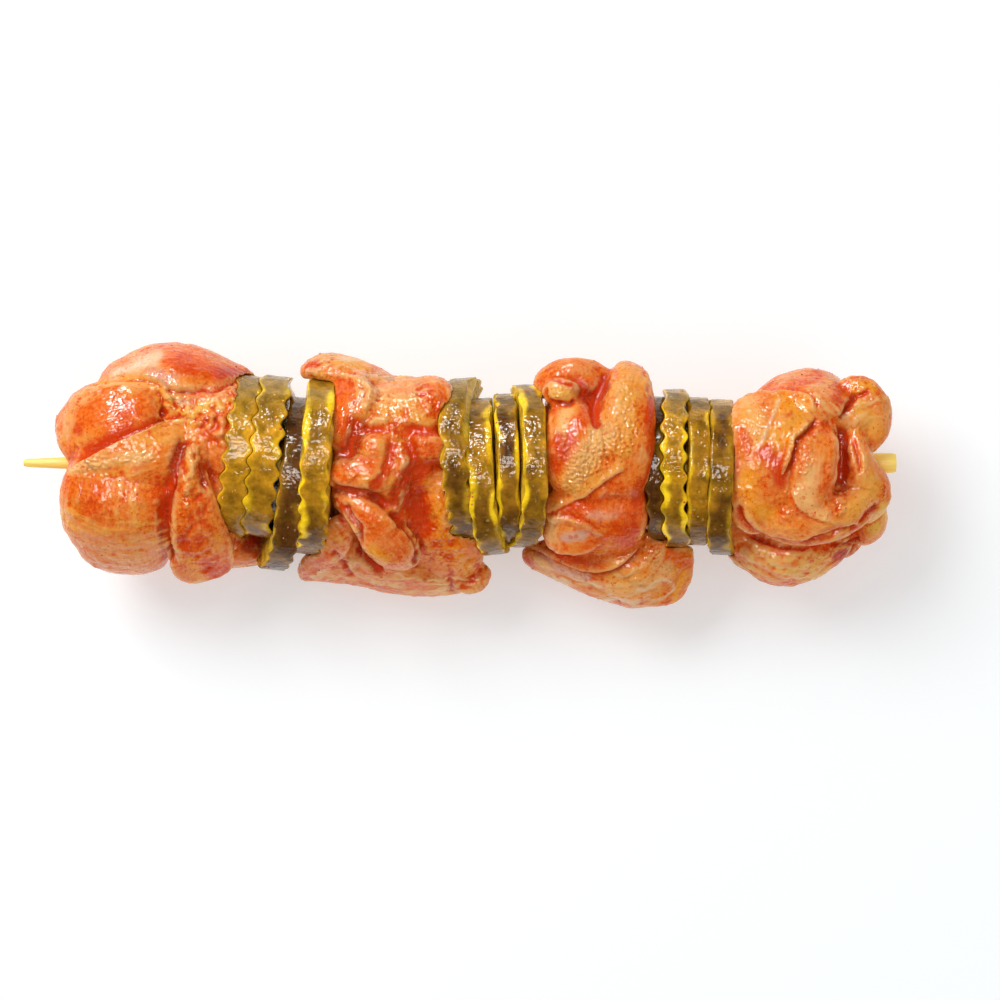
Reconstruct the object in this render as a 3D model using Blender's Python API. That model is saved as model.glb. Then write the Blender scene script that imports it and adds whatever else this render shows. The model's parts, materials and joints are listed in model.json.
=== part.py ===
"""A raw chicken kebab, lying on its side.

Four folded pieces of marinated chicken and three stacks of crinkle-cut pickle slices are
threaded on one bamboo skewer. Each meat piece is built from folds: thick tongues of meat that
are laid over each other, fused into one solid, flattened where the piece rests, and pressed in
where the pickles and the skewer lie against it. Tables are in millimetres, measured from the
middle of the skewer: +X towards its blunt end, +Z up.
"""

import math

import bmesh
import bpy
from mathutils import Matrix, Vector

MM = 0.001
GAP = 0.35  # clearance between pieces that touch

# Skewer
SKEWER_LENGTH = 203.0
SKEWER_DIAMETER = 4.8
TIP_DIAMETER = 1.9
TAPER_LENGTH = 30.0
END_CHAMFER = 0.25
SKEWER_SIDES = 16
AXIS_HEIGHT = 23.5  # the skewer's axis above the surface that the meat rests on

# Crinkle-cut pickle slices
RIDGE_PITCH = 4.7
FINE_RIPPLE = 0.4
RIM_UNEVENNESS = 0.015
END_ROW = 0.985

# Meat
FOLD_SIDES = 14
FOLD_RINGS = 11
FOLD_SQUARENESS = 0.8  # below 1, a fold's section is boxier than an ellipse
END_BLUNTNESS = 3.0
NUDGE = 1e-3  # along a fold, to find its direction
VOXEL = 1.25
SMOOTH_STEPS = 5
ROOM_SIDES = 40

# Each slice: x, y, z of its centre, radius across its ridges, radius along them, thickness,
# height of the ripple to each side, bend of its rims along X, turn about Z, and how far the
# ridges are turned about the skewer (0 is upright). Angles are in degrees.
STACKS = {
    "left": [
        (-51.0, 1.6, -0.6, 18.9, 18.6, 4.9, 0.6, 0.1, -7.5, 0),
        (-44.9, 1.6, -0.2, 18.9, 18.8, 5.3, 0.6, 0.3, -7.5, 0),
        (-38.5, -4.9, -2.4, 20.6, 20.2, 3.9, 0.3, 0.2, -4.5, 48),
        (-32.4, -0.6, -0.2, 21.2, 20.3, 5.2, 0.45, -0.2, -3.7, 48),
    ],
    "middle": [
        (0.0, 0.7, -0.4, 19.3, 19.0, 4.5, 0.6, -1.4, 4, 44),
        (6.0, -3.2, -0.4, 17.9, 18.4, 4.4, 0.3, -1.2, 4, 78),
        (11.1, -1.2, -1.2, 17.4, 17.6, 4.0, 0.3, 0.0, 2, 78),
        (16.3, -0.8, -0.6, 19.4, 18.8, 4.5, 0.3, 1.4, 0, 78),
    ],
    "right": [
        (45.8, -1.4, -2.0, 16.8, 16.6, 2.7, 0.4, -1.2, 0, 0),
        (50.0, -1.1, -0.2, 18.4, 18.5, 4.4, 0.5, -1.2, 0, 0),
        (55.4, -1.9, -1.2, 17.2, 17.4, 4.0, 0.25, -0.4, -1, 76),
        (60.2, -3.4, -0.6, 18.3, 18.2, 4.5, 0.25, -0.2, -2, 76),
    ],
}

# Each fold: the way its broad side faces, then its stations (x, y, z, width, thickness).
MEAT = {
    "meat_1": {
        "core": ((0, 0, 1), [(-87, -3, -4, 30, 30), (-70, -1, -4, 38, 36), (-50, 0, -4, 34, 30)]),
        "far_side": ((0, 1, 0.5), [(-84, 16, 1, 15, 11), (-67, 18, 2, 24, 18), (-46, 13, -1, 20, 14)]),
        "upper_left": (
            (-0.25, 0.3, 1),
            [(-91, 3.5, 4, 17, 12), (-81, 9.5, 10, 20, 13), (-69, 12.5, 12, 14, 9)],
        ),
        "lower_left": (
            (-0.1, -0.7, 0.7),
            [
                (-77, 3, 9, 22, 10),
                (-79, -8, 11.5, 26, 14),
                (-78, -18, 0, 23, 15),
                (-77, -20, -14, 20, 13),
            ],
        ),
        "rolled_edge": (
            (0, -0.2, 1),
            [(-90.5, -3.5, 10.5, 9, 9), (-77, 0, 14.5, 11, 10), (-61, 6, 14, 9, 9)],
        ),
        "middle": ((0, 0, 1), [(-69, 11, 9, 15, 9), (-58, 8, 11, 21, 11), (-47, 2, 10, 22, 12)]),
        "hanging_flap": (
            (0.15, -0.5, 0.9),
            [
                (-61, 6, 14.5, 5, 4),
                (-61.8, -6, 16, 10, 5),
                (-60.3, -17, 10.5, 14.5, 5.5),
                (-58, -27, -3, 15.5, 6),
            ],
        ),
        "flap_root": ((0, -1, 0.5), [(-59, 2, 9, 12, 8), (-58, -10, 7, 14, 9), (-57, -19, -4, 16, 12)]),
        "low_end": (
            (0, -1, 0.2),
            [(-66, -17, -9, 18, 12), (-53, -19, -11, 15, 11), (-43.5, -19, -13, 9, 8)],
        ),
        "underside": (
            (0, 0, -1),
            [(-76, -19, -10, 24, 11), (-73, 0, -19, 32, 13), (-72, 19, -8, 24, 12)],
        ),
    },
    "meat_2": {
        "core": ((0, 0, 1), [(-32, -1, -4, 32, 28), (-16, -1, -4, 36, 32), (2, -3, -4, 32, 26)]),
        "far_flap": (
            (0, 1, 0.3),
            [(-36, 21.5, 1, 12, 5), (-31, 22.5, 3, 14, 5.5), (-24, 20.5, 3, 14, 6), (-15, 17.5, 2, 14, 6)],
        ),
        "far_side": ((0, 1, 0.6), [(-30, 11.5, 1, 20, 11), (-16, 12, 2, 23, 12), (0, 12, 0, 21, 12)]),
        "left_panel": (
            (-0.4, 0.1, 1),
            [(-28.5, 19, 7, 7, 5), (-27.5, 10, 12, 7, 6), (-27.5, 0, 12.5, 6, 5)],
        ),
        "upper_face": (
            (0, 0.3, 1),
            [(-15, 18.5, 6, 19, 7), (-12, 12.5, 11.5, 20, 9), (-9, 6, 13, 14, 8)],
        ),
        "seam": ((0, 0, 1), [(-20.5, 17, 9, 3, 4), (-20, 11, 14, 4, 5), (-23, 5, 14, 4, 5)]),
        "knob_left": (
            (0.1, 0, 1),
            [(-30, -0.5, 14, 4.5, 5), (-23, -2.3, 16.5, 6, 6), (-18, -4.5, 15, 4, 5)],
        ),
        "knob_middle": ((0, 0, 1), [(-21, 9, 14, 5, 5), (-15, 8.5, 17, 7, 6), (-11, 4, 15.5, 5, 5)]),
        "knob_low": (
            (0, 0, 1),
            [(-24, 4, 14.5, 4, 4), (-19, 4, 16.5, 5.5, 5), (-16, -1.5, 14.5, 4, 5)],
        ),
        "knob_right": ((0, 0, 1), [(-11.5, 3, 12, 6, 6), (-7.5, 4, 14.5, 8, 7), (-3, 3.5, 12, 6, 6)]),
        "tongue": (
            (-0.1, -0.4, 0.9),
            [
                (-28, -6, 13, 4, 4),
                (-22, -12, 15, 9, 6),
                (-16, -18.5, 11.5, 11.5, 7),
                (-11.5, -23.5, 4, 10, 6),
            ],
        ),
        "right_face": (
            (0.1, -0.6, 0.7),
            [(-11, 2, 9, 15, 8), (-7, -9, 8, 18, 9), (-3, -19, 0, 17, 9), (1, -26, -8, 14, 8)],
        ),
        "near_side": (
            (0, -1, 0.5),
            [(-38, -26.5, -15, 5, 6), (-26, -22, -9, 19, 11), (-8, -24, -9, 19, 13), (5, -26, -11, 13, 9)],
        ),
        "corner_knob": ((0, 0, 1), [(-1, -28, -8, 5, 6), (3, -27, -7, 7, 6), (6, -23.5, -8, 6, 6)]),
        "left_fold": (
            (-0.1, -0.6, 0.8),
            [(-37.5, -26, -13, 5, 4), (-30, -20, 2, 7, 5), (-27, -13, 10, 6, 5)],
        ),
        "underside": (
            (0, 0, -1),
            [(-18, -20, -11, 26, 12), (-16, 0, -19, 30, 13), (-16, 16, -9, 26, 12)],
        ),
    },
    "meat_3": {
        "core": ((0, 0, 1), [(17, -1, -4, 32, 26), (32, -1, -4, 35, 32), (47, -2, -4, 30, 26)]),
        "far_loop": (
            (0, 0.6, 0.8),
            [(19, 16.5, 5, 6, 7), (21.5, 20, 5, 6.5, 8), (28, 20, 5, 6.5, 8), (33, 16, 5, 6, 7)],
        ),
        "far_side": ((0, 1, 0.3), [(20, 10, -2, 20, 12), (32, 12.5, -2, 22, 12), (44, 12, -3, 22, 12)]),
        "small_lump": (
            (0, 0, 1),
            [(19.5, 15.5, 9, 4, 5), (23, 16.7, 11, 5.5, 5.5), (26, 16, 9.5, 4.5, 5)],
        ),
        "right_roll": (
            (0.15, 0.1, 1),
            [(39.5, 21.5, 1, 10, 9), (38.8, 15, 10, 12, 11), (38.5, 4, 14.5, 13, 10), (37, -8, 12, 14, 9)],
        ),
        "left_lobe": ((-0.1, 0, 1), [(24.5, 14, 8, 10, 7), (26, 5, 14, 13, 9), (26, -7, 12, 13, 8)]),
        "saddle": ((0, 0, 1), [(31, 9, 10, 8, 6), (31.5, 1, 14, 12, 8), (31.5, -8, 12, 14, 8)]),
        "layer_edge": (
            (-0.1, -0.3, 1),
            [(20, -12, 9, 6, 6), (30, -7.5, 13.5, 7, 6), (41, -1, 14, 6, 6)],
        ),
        "pink_layer": (
            (0, -0.5, 0.9),
            [(30, -5, 9, 24, 8), (31, -13, 8.5, 23, 8), (31, -19, 1, 23, 9)],
        ),
        "lower_flap": (
            (-0.1, -0.6, 0.8),
            [(19.5, -14, 7.5, 8, 5), (28, -16.5, 8.5, 11, 6), (40, -14, 7, 9, 6)],
        ),
        "near_side": (
            (0, -1, 0.8),
            [(15, -20.5, -9, 8, 6), (28, -22.5, -4, 15, 9), (42, -25.5, -5, 18, 10), (49, -27, -8, 12, 7)],
        ),
        "right_flap": (
            (0.2, -0.4, 0.9),
            [(40, -21, 0, 14, 5), (46, -25, -2.5, 15, 4), (53, -25, -6, 13, 3)],
        ),
        "underside": ((0, 0, -1), [(30, -22, -10, 24, 12), (31, 0, -19, 26, 13), (31, 16, -9, 24, 12)]),
    },
    "meat_4": {
        "core": ((0, 0, 1), [(63, -1, -4, 30, 26), (80, -1, -4, 34, 32), (94, -2, -4, 26, 24)]),
        "left_panel": (
            (-0.1, 0.1, 1),
            [(71.5, 14, 5, 15, 8), (71.5, 7, 12, 17, 8), (70.5, -4, 13.5, 13, 8), (75, -13, 9, 10, 8)],
        ),
        "leaf": (
            (0, 0, 1),
            [(83.5, 9, 9, 7, 5), (82, 3, 14, 11, 7), (80.5, -5, 14, 11, 7), (81, -11, 12, 9, 6)],
        ),
        "far_side": ((0, 1, 0.5), [(68, 11, 0, 20, 10), (81, 14.5, 3, 22, 12), (91, 12, 1, 18, 11)]),
        "ear": (
            (0.5, 0.3, 0.8),
            [(90, 15.5, 5, 8, 8), (94, 14, 5, 12, 8), (95, 8.5, 4, 11, 8), (93, 4, 3, 6, 6)],
        ),
        "right_band": (
            (0.5, -0.2, 0.9),
            [(91, 8, 7, 4, 5), (92, 0, 8, 8, 7), (94.5, -7, 4, 11, 9), (91, -12, 6, 9, 8)],
        ),
        "swirl": (
            (0, -0.4, 1),
            [(70, -10, 10, 8, 7), (78, -13, 11, 8, 8), (88, -12, 10, 8, 8), (94.5, -8, 6, 7, 7)],
        ),
        "corner_lobe": (
            (0.6, -0.5, 0.4),
            [(92, -8, -3, 9, 9), (95.5, -13, -4, 9, 9), (93, -18, -7, 7, 7)],
        ),
        "near_side": (
            (0, -0.9, 0.5),
            [(66, -17, -4, 11, 9), (77, -22, -3, 16, 11), (87, -20, -5, 11, 9)],
        ),
        "low_lip": (
            (0, -0.6, -0.3),
            [(84, -19, -10, 6, 5), (90, -19.5, -10, 6, 4), (94, -16, -10, 5, 4)],
        ),
        "underside": ((0, 0, -1), [(79, -20, -10, 22, 12), (80, 0, -19, 28, 13), (80, 13, -9, 24, 12)]),
    },
}

# The stacks that each meat piece meets, and the share of its triangles that it keeps
NEIGHBOURS = {
    "meat_1": (["left"], 0.045),
    "meat_2": (["left", "middle"], 0.042),
    "meat_3": (["middle", "right"], 0.042),
    "meat_4": (["right"], 0.06),
}

COLOURS = {
    "meat": ((0.80, 0.27, 0.09), 0.35),
    "pickle": ((0.36, 0.33, 0.06), 0.3),
    "bamboo": ((0.86, 0.62, 0.25), 0.6),
}


def clear_scene():
    for old in list(bpy.data.objects):
        bpy.data.objects.remove(old, do_unlink=True)


def plain_material(name):
    colour, roughness = COLOURS[name]
    material = bpy.data.materials.new(name)
    material.use_nodes = True
    shader = material.node_tree.nodes["Principled BSDF"]
    shader.inputs["Base Color"].default_value = (*colour, 1)
    shader.inputs["Roughness"].default_value = roughness
    shader.inputs["Metallic"].default_value = 0.0
    return material


def add_object(name, bm, parent, material=None):
    """A named object from a bmesh in millimetres. Without a material it is a cutter."""
    bmesh.ops.recalc_face_normals(bm, faces=bm.faces)
    bmesh.ops.scale(bm, vec=(MM, MM, MM), verts=bm.verts)
    mesh = bpy.data.meshes.new(name)
    bm.to_mesh(mesh)
    bm.free()
    obj = bpy.data.objects.new(name, mesh)
    bpy.context.scene.collection.objects.link(obj)
    obj.parent = parent
    if material:
        mesh.materials.append(material)
    else:
        obj.hide_render = True
        obj.display_type = "WIRE"
    return obj


def bridge(bm, rings):
    """Walls between rings of equal length, one after the other."""
    for ring, after in zip(rings, rings[1:]):
        count = len(ring)
        for i in range(count):
            j = (i + 1) % count
            bm.faces.new((ring[i], ring[j], after[j], after[i]))


# The skewer


def skewer_profile(gap=0.0, overrun=0.0):
    """(x, radius) from the tip to the blunt end, grown by a gap for the bores."""
    half = SKEWER_LENGTH / 2
    shaft, tip = SKEWER_DIAMETER / 2, TIP_DIAMETER / 2
    start, end = -half - overrun, half + overrun
    if overrun:
        taper_end = -half + TAPER_LENGTH
        return [(start, tip + gap), (-half, tip + gap), (taper_end, shaft + gap), (end, shaft + gap)]
    return [
        (start, tip - END_CHAMFER),
        (start + END_CHAMFER, tip),
        (-half + TAPER_LENGTH, shaft),
        (end - END_CHAMFER, shaft),
        (end, shaft - END_CHAMFER),
    ]


def turned(profile):
    """A solid of revolution about X."""
    bm = bmesh.new()
    rings = []
    for x, radius in profile:
        angles = [2 * math.pi * i / SKEWER_SIDES for i in range(SKEWER_SIDES)]
        rings.append([bm.verts.new((x, radius * math.cos(a), radius * math.sin(a))) for a in angles])
    bridge(bm, rings)
    bm.faces.new(rings[0])
    bm.faces.new(rings[-1])
    return bm


# The pickle slices


def slice_frame(spec):
    """Where a slice's middle lies, and the turn of its rows. Ripples line up from slice to slice."""
    x, y, z, across, along, _, _, bend, turn, ridges = spec
    rows = Matrix.Rotation(math.radians(ridges), 4, "X")
    place = Matrix.Translation((x, y, z)) @ Matrix.Rotation(math.radians(turn), 4, "Z") @ rows
    offset = (rows.inverted() @ Vector((0, y, z))).y
    return place, offset


def bent(spec, x, s, z):
    """A point of a slice's own plane, with the plane's near and far rims bent along X."""
    height = s * math.sin(math.radians(spec[9])) + z * math.cos(math.radians(spec[9]))
    return Vector((x + spec[7] * (height / spec[4]) ** 2, s, z))


def slice_rows(spec, offset):
    """Rows across a slice, on the crests and troughs of its ripples, with more where they are high."""
    across, ripple_height = spec[3], spec[6]
    step = RIDGE_PITCH / (4 if ripple_height > FINE_RIPPLE else 2)
    first = math.ceil((-across + offset) / step - 0.5)
    last = math.floor((across + offset) / step - 0.5)
    inside = [((row + 0.5) * step - offset) / across for row in range(first, last + 1)]
    near_end = 1 - step / across / 2
    return [-END_ROW, *(s for s in inside if abs(s) < near_end), END_ROW]


def crinkled_slice(spec):
    """A round slice whose two cut faces ripple together."""
    across, along, thickness, ripple_height = spec[3:7]
    place, offset = slice_frame(spec)
    bm = bmesh.new()
    rings = []
    for s in slice_rows(spec, offset):
        ripple = ripple_height * math.sin(2 * math.pi * (s * across + offset) / RIDGE_PITCH)
        chord = along * math.sqrt(1 - s * s)
        top = chord * (1 + RIM_UNEVENNESS * math.sin(5 * s + across))
        low = -chord * (1 + RIM_UNEVENNESS * math.sin(4 * s + 2 * along))
        rings.append([])
        for side, heights in ((1, (top, 0, low)), (-1, (low, 0, top))):
            for z in heights:
                corner = bent(spec, ripple + side * thickness / 2, s * across, z)
                rings[-1].append(bm.verts.new(place @ corner))
    bridge(bm, rings)
    for ring in (rings[0], rings[-1]):
        bm.faces.new((ring[0], ring[1], ring[4], ring[5]))
        bm.faces.new((ring[1], ring[2], ring[3], ring[4]))
    bmesh.ops.triangulate(bm, faces=bm.faces)
    return bm


def slice_room(spec):
    """The room that one slice takes, with clearance all round."""
    across, along, thickness, ripple_height = spec[3:7]
    place, _ = slice_frame(spec)
    depth = thickness / 2 + ripple_height + GAP
    bm = bmesh.new()
    rings = []
    for x in (-depth, depth):
        middle = bm.verts.new(place @ Vector((x, 0, 0)))
        ring = []
        for k in range(ROOM_SIDES):
            a = 2 * math.pi * k / ROOM_SIDES
            y = (across * (1 + RIM_UNEVENNESS) + GAP) * math.cos(a)
            z = (along * (1 + RIM_UNEVENNESS) + GAP) * math.sin(a)
            ring.append(bm.verts.new(place @ bent(spec, x, y, z)))
        for k in range(ROOM_SIDES):
            bm.faces.new((middle, ring[k], ring[(k + 1) % ROOM_SIDES]))
        rings.append(ring)
    bridge(bm, rings)
    bmesh.ops.triangulate(bm, faces=bm.faces)
    return bm


# The meat


def between(stations, u):
    """A smooth curve through the stations at u from 0 to 1: place, width and thickness."""
    spans = len(stations) - 1
    i = min(int(u * spans), spans - 1)
    t = u * spans - i
    near = [stations[max(i - 1, 0)], stations[i], stations[i + 1], stations[min(i + 2, spans)]]
    a, b, c, d = (Vector(s) for s in near)
    return 0.5 * (2 * b + (c - a) * t + (2 * a - 5 * b + 4 * c - d) * t**2 + (3 * b - a - 3 * c + d) * t**3)


def power(value, exponent):
    return math.copysign(abs(value) ** exponent, value)


def add_fold(bm, facing, stations):
    """One tongue of meat: a thick strip along its stations, blunt at both ends."""
    rings = []
    ends = []
    for i in range(FOLD_RINGS + 1):
        u = (1 - math.cos(math.pi * i / FOLD_RINGS)) / 2
        here = between(stations, u)
        centre = Vector(here[:3])
        before, after = between(stations, max(u - NUDGE, 0)), between(stations, min(u + NUDGE, 1))
        ahead = (Vector(after[:3]) - Vector(before[:3])).normalized()
        side = ahead.cross(Vector(facing)).normalized()
        up = side.cross(ahead)
        if i in (0, FOLD_RINGS):
            ends.append(bm.verts.new(centre))
            continue
        fullness = (1 - abs(2 * u - 1) ** END_BLUNTNESS) ** (1 / END_BLUNTNESS)
        ring = []
        for k in range(FOLD_SIDES):
            a = 2 * math.pi * k / FOLD_SIDES
            across = power(math.cos(a), FOLD_SQUARENESS) * here[3] / 2 * fullness
            through = power(math.sin(a), FOLD_SQUARENESS) * here[4] / 2 * fullness
            ring.append(bm.verts.new(centre + side * across + up * through))
        rings.append(ring)
    bridge(bm, rings)
    for end, ring in zip(ends, (rings[0], rings[-1])):
        for k in range(FOLD_SIDES):
            bm.faces.new((end, ring[k], ring[(k + 1) % FOLD_SIDES]))


def add_cut(obj, name, cutter):
    cut = obj.modifiers.new(name, "BOOLEAN")
    cut.operation = "DIFFERENCE"
    cut.object = cutter


def make_meat(name, folds, parent, material, cutters, kept_share):
    bm = bmesh.new()
    for facing, stations in folds.values():
        add_fold(bm, facing, stations)
    obj = add_object(name, bm, parent, material)
    fuse = obj.modifiers.new("fuse_folds", "REMESH")
    fuse.mode = "VOXEL"
    fuse.voxel_size = VOXEL * MM
    soften = obj.modifiers.new("soften", "SMOOTH")
    soften.factor = 0.5
    soften.iterations = SMOOTH_STEPS
    thin_out = obj.modifiers.new("thin_out", "DECIMATE")
    thin_out.ratio = kept_share
    for cutter in cutters:
        add_cut(obj, cutter.name, cutter)
    return obj


def floor_cutter(parent):
    bm = bmesh.new()
    bmesh.ops.create_cube(bm, size=1)
    bmesh.ops.scale(bm, vec=(1.5 * SKEWER_LENGTH, SKEWER_LENGTH, AXIS_HEIGHT), verts=bm.verts)
    bmesh.ops.translate(bm, vec=(0, 0, -1.5 * AXIS_HEIGHT), verts=bm.verts)
    return add_object("floor_cutter", bm, parent)


def centre_on_origin(parent, nodes):
    """Moves the whole so that its box stands on the origin, centred."""
    bpy.context.view_layer.update()
    graph = bpy.context.evaluated_depsgraph_get()
    corners = []
    for node in nodes:
        shaped = node.evaluated_get(graph)
        corners += [shaped.matrix_world @ vertex.co for vertex in shaped.data.vertices]
    for axis in (0, 1):
        values = [corner[axis] for corner in corners]
        parent.location[axis] -= (min(values) + max(values)) / 2


def main():
    clear_scene()
    kebab = bpy.data.objects.new("kebab", None)
    bpy.context.scene.collection.objects.link(kebab)
    kebab.location.z = AXIS_HEIGHT * MM
    meat, pickle, bamboo = (plain_material(name) for name in COLOURS)

    nodes = [add_object("skewer", turned(skewer_profile()), kebab, bamboo)]
    bore = add_object("bore_cutter", turned(skewer_profile(GAP, overrun=5)), kebab)
    floor = floor_cutter(kebab)

    rooms = {}
    for side, stack in STACKS.items():
        rooms[side] = []
        for number, spec in enumerate(stack, 1):
            slice_object = add_object(f"pickle_{side}_{number}", crinkled_slice(spec), kebab, pickle)
            room = add_object(f"room_{side}_{number}", slice_room(spec), kebab)
            add_cut(slice_object, "bore", bore)
            rooms[side].append(room)
            nodes.append(slice_object)

    for name, folds in MEAT.items():
        sides, kept_share = NEIGHBOURS[name]
        cutters = [floor, *(room for side in sides for room in rooms[side]), bore]
        nodes.append(make_meat(name, folds, kebab, meat, cutters, kept_share))
    centre_on_origin(kebab, nodes)


main()
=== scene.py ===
"""The looks of a raw chicken kebab: four folded pieces of marinated chicken and three stacks of
crinkle-cut pickle slices on a bamboo skewer.

Tables are in millimetres from the middle of the skewer, +X towards its blunt end and +Z up. The
packed skewer says where that middle is.
"""

import json
import math
import random
from collections import namedtuple

import bmesh
import bpy
import numpy as np
from bpy.props import FloatProperty, FloatVectorProperty, IntProperty, PointerProperty
from mathutils import Matrix, Vector, noise

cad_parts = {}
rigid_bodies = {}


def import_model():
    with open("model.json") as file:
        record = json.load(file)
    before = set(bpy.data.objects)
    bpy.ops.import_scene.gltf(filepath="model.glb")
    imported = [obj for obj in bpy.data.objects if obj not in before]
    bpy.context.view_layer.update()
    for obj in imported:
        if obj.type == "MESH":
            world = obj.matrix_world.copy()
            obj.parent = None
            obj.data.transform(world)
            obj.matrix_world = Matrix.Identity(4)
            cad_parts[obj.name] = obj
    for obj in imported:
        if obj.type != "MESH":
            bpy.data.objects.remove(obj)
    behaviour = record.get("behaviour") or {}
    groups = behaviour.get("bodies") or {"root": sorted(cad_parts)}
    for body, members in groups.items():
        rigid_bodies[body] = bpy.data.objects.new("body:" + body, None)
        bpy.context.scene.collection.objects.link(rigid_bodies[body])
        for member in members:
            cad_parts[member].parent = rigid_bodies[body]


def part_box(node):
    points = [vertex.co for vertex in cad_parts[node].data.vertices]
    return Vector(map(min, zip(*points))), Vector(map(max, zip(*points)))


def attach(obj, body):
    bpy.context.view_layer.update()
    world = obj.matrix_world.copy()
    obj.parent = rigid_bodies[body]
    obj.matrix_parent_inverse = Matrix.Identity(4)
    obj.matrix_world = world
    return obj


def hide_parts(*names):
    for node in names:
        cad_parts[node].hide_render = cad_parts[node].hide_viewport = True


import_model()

bl_info = {
    "name": "Chicken kebab",
    "version": (1, 0, 0),
    "blender": (4, 5, 0),
    "location": "View3D > Sidebar > Kebab",
    "description": "Builds the marinated chicken, the pickle slices, the skewer and the studio",
    "category": "Add Mesh",
}

MM = 0.001
LOW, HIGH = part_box("skewer")
MIDDLE = (LOW + HIGH) / 2
SKEWER_LENGTH = (HIGH.x - LOW.x) / MM
SKEWER_DIAMETER = (HIGH.z - LOW.z) / MM
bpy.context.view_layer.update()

# Skewer
TIP_DIAMETER = 1.9
TAPER_LENGTH = 30.0
STICK_SIDES = 48
STICK_ROWS = 260
STICK_FACETS = 7
STICK_RELIEF = 0.03
CHAMFER = 0.25
GAP = 0.35
BORE_SIDES = 64
BORE_PAST_END = 5

# Pickle slices
RIDGE_PITCH = 4.7
RIM_UNEVENNESS = 0.015
RIM_STEPS = 264
FACE_STEPS = 16
RIM_ROWS = 17
TOUCH = 0.05
PRESS = 0.3
ROOM_CLEARANCE = 0.15
NO_HOLE = 0.05
SKIN_INSET = 0.35
LIT_SPOT_WIDTH = 2.2

# Meat
FOLD_SIDES = 24
FOLD_RINGS = 24
FOLD_SPANS = 12
FOLD_SQUARENESS = 0.8
END_BLUNTNESS = 3.0
FUSING_SIZE = 0.6 * MM
STRAND_STRETCH = (0.1, 1, 1)
SHADOW_CELL = 0.7
COVERED_BY = (1.2, 2.4)
RELAXING_STEPS = 14
NUDGE = 1e-3
FAR_OFF = 1e9

# Studio
FLOOR_HALF_WIDTH = 3.0

# Spice dots
DOT_WOBBLE = 0.6 * MM
DOT_SHARPNESS = 14.0

# Each slice: x, y, z of its centre, radius across its ridges, radius along them, thickness,
# height of the ripple to each side, bend of its rims along X, turn about Z, how far the ridges
# are turned about the skewer, its tone from 0, dark brown, to 1, yellow, how lit its edges are,
# and how far its low half curls along the skewer at its near and its far end. The tone is partly
# painted shade: the sunken slices that lie in shadow are given a dark tone.
Slice = namedtuple(
    "Slice", "x y z across along thickness ripple bend turn ridges tone lit curl_near curl_far"
)
STACKS = {
    "left": [
        (-51.0, 1.6, -0.6, 18.9, 18.6, 4.9, 0.6, 0.1, -7.5, 0, 0.85, 0.3, 0, 0),
        (-44.9, 1.6, -0.2, 18.9, 18.8, 5.3, 0.6, 0.3, -7.5, 0, 0.75, 0.45, 0, 0),
        (-38.5, -4.9, -2.4, 20.6, 20.2, 3.9, 0.3, 0.2, -6.5, 48, 0.1, 0.05, -4.5, 0),
        (-32.4, -0.6, -0.2, 21.2, 20.3, 5.2, 0.45, -0.2, -3.7, 48, 0.7, 0.9, -5, 0),
    ],
    "middle": [
        (0.0, 0.7, -0.4, 19.3, 19.0, 4.5, 0.6, -1.4, 4, 44, 0.4, 0.2, 0, 4),
        (6.0, -3.2, -0.4, 17.9, 18.4, 4.4, 0.3, -1.2, 4, 78, 0.6, 0.75, 2.5, 0),
        (11.1, -1.2, -1.2, 17.4, 17.6, 4.0, 0.3, 0.0, 2, 78, 0.38, 0.85, 0, 0),
        (16.3, -0.8, -0.6, 19.4, 18.8, 4.5, 0.3, 1.4, 0, 78, 0.5, 0.8, -4.5, -2.5),
    ],
    "right": [
        (45.8, -1.4, -2.0, 16.8, 16.6, 2.7, 0.4, -1.2, 0, 0, -0.1, 0.1, 0, 0),
        (50.0, -1.1, -0.2, 18.4, 18.5, 4.4, 0.5, -1.2, 0, 0, 0.85, 0.9, 1.5, 0),
        (55.4, -1.9, -1.2, 17.2, 17.4, 4.0, 0.25, -0.4, -1, 76, 0.55, 0.55, 0, 0),
        (60.2, -3.4, -0.6, 18.3, 18.2, 4.5, 0.25, -0.2, -2, 76, 0.4, 0.2, 3, 0),
    ],
}

STACKS = {side: [Slice(*row) for row in rows] for side, rows in STACKS.items()}

# Where brine pools on the slices: x, y and how far it spreads
WET_SPOTS = (
    (-53.4, 7.5, 2.6), (-54.6, -1, 2.2), (-47, -24, 2), (-1.4, 10.4, 3.4), (-0.2, 0, 2.2),
    (4.2, -1.4, 1.6), (49.8, 9.6, 4), (49.2, -1, 4.6), (55, 11, 1.8),
)

# Where light comes through a slice's edge: x, y and how far along the edge
LIT_SPOTS = (
    (-34.9, -14, 7), (-35, 8, 6), (-29.8, 14, 4), (1.9, -10, 8), (7.2, 7, 8),
    (14, 2, 8), (62.6, -14, 6), (8.2, -10, 6), (14.6, 14, 5), (14.9, -7, 5),
    (52, -12, 6), (52.4, 3, 9), (47.6, -6, 8), (57.8, 10, 3), (46.6, 4, 3),
)

# The stacks that each meat piece meets
NEIGHBOURS = {
    "meat_1": ["left"],
    "meat_2": ["left", "middle"],
    "meat_3": ["middle", "right"],
    "meat_4": ["right"],
}

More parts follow.
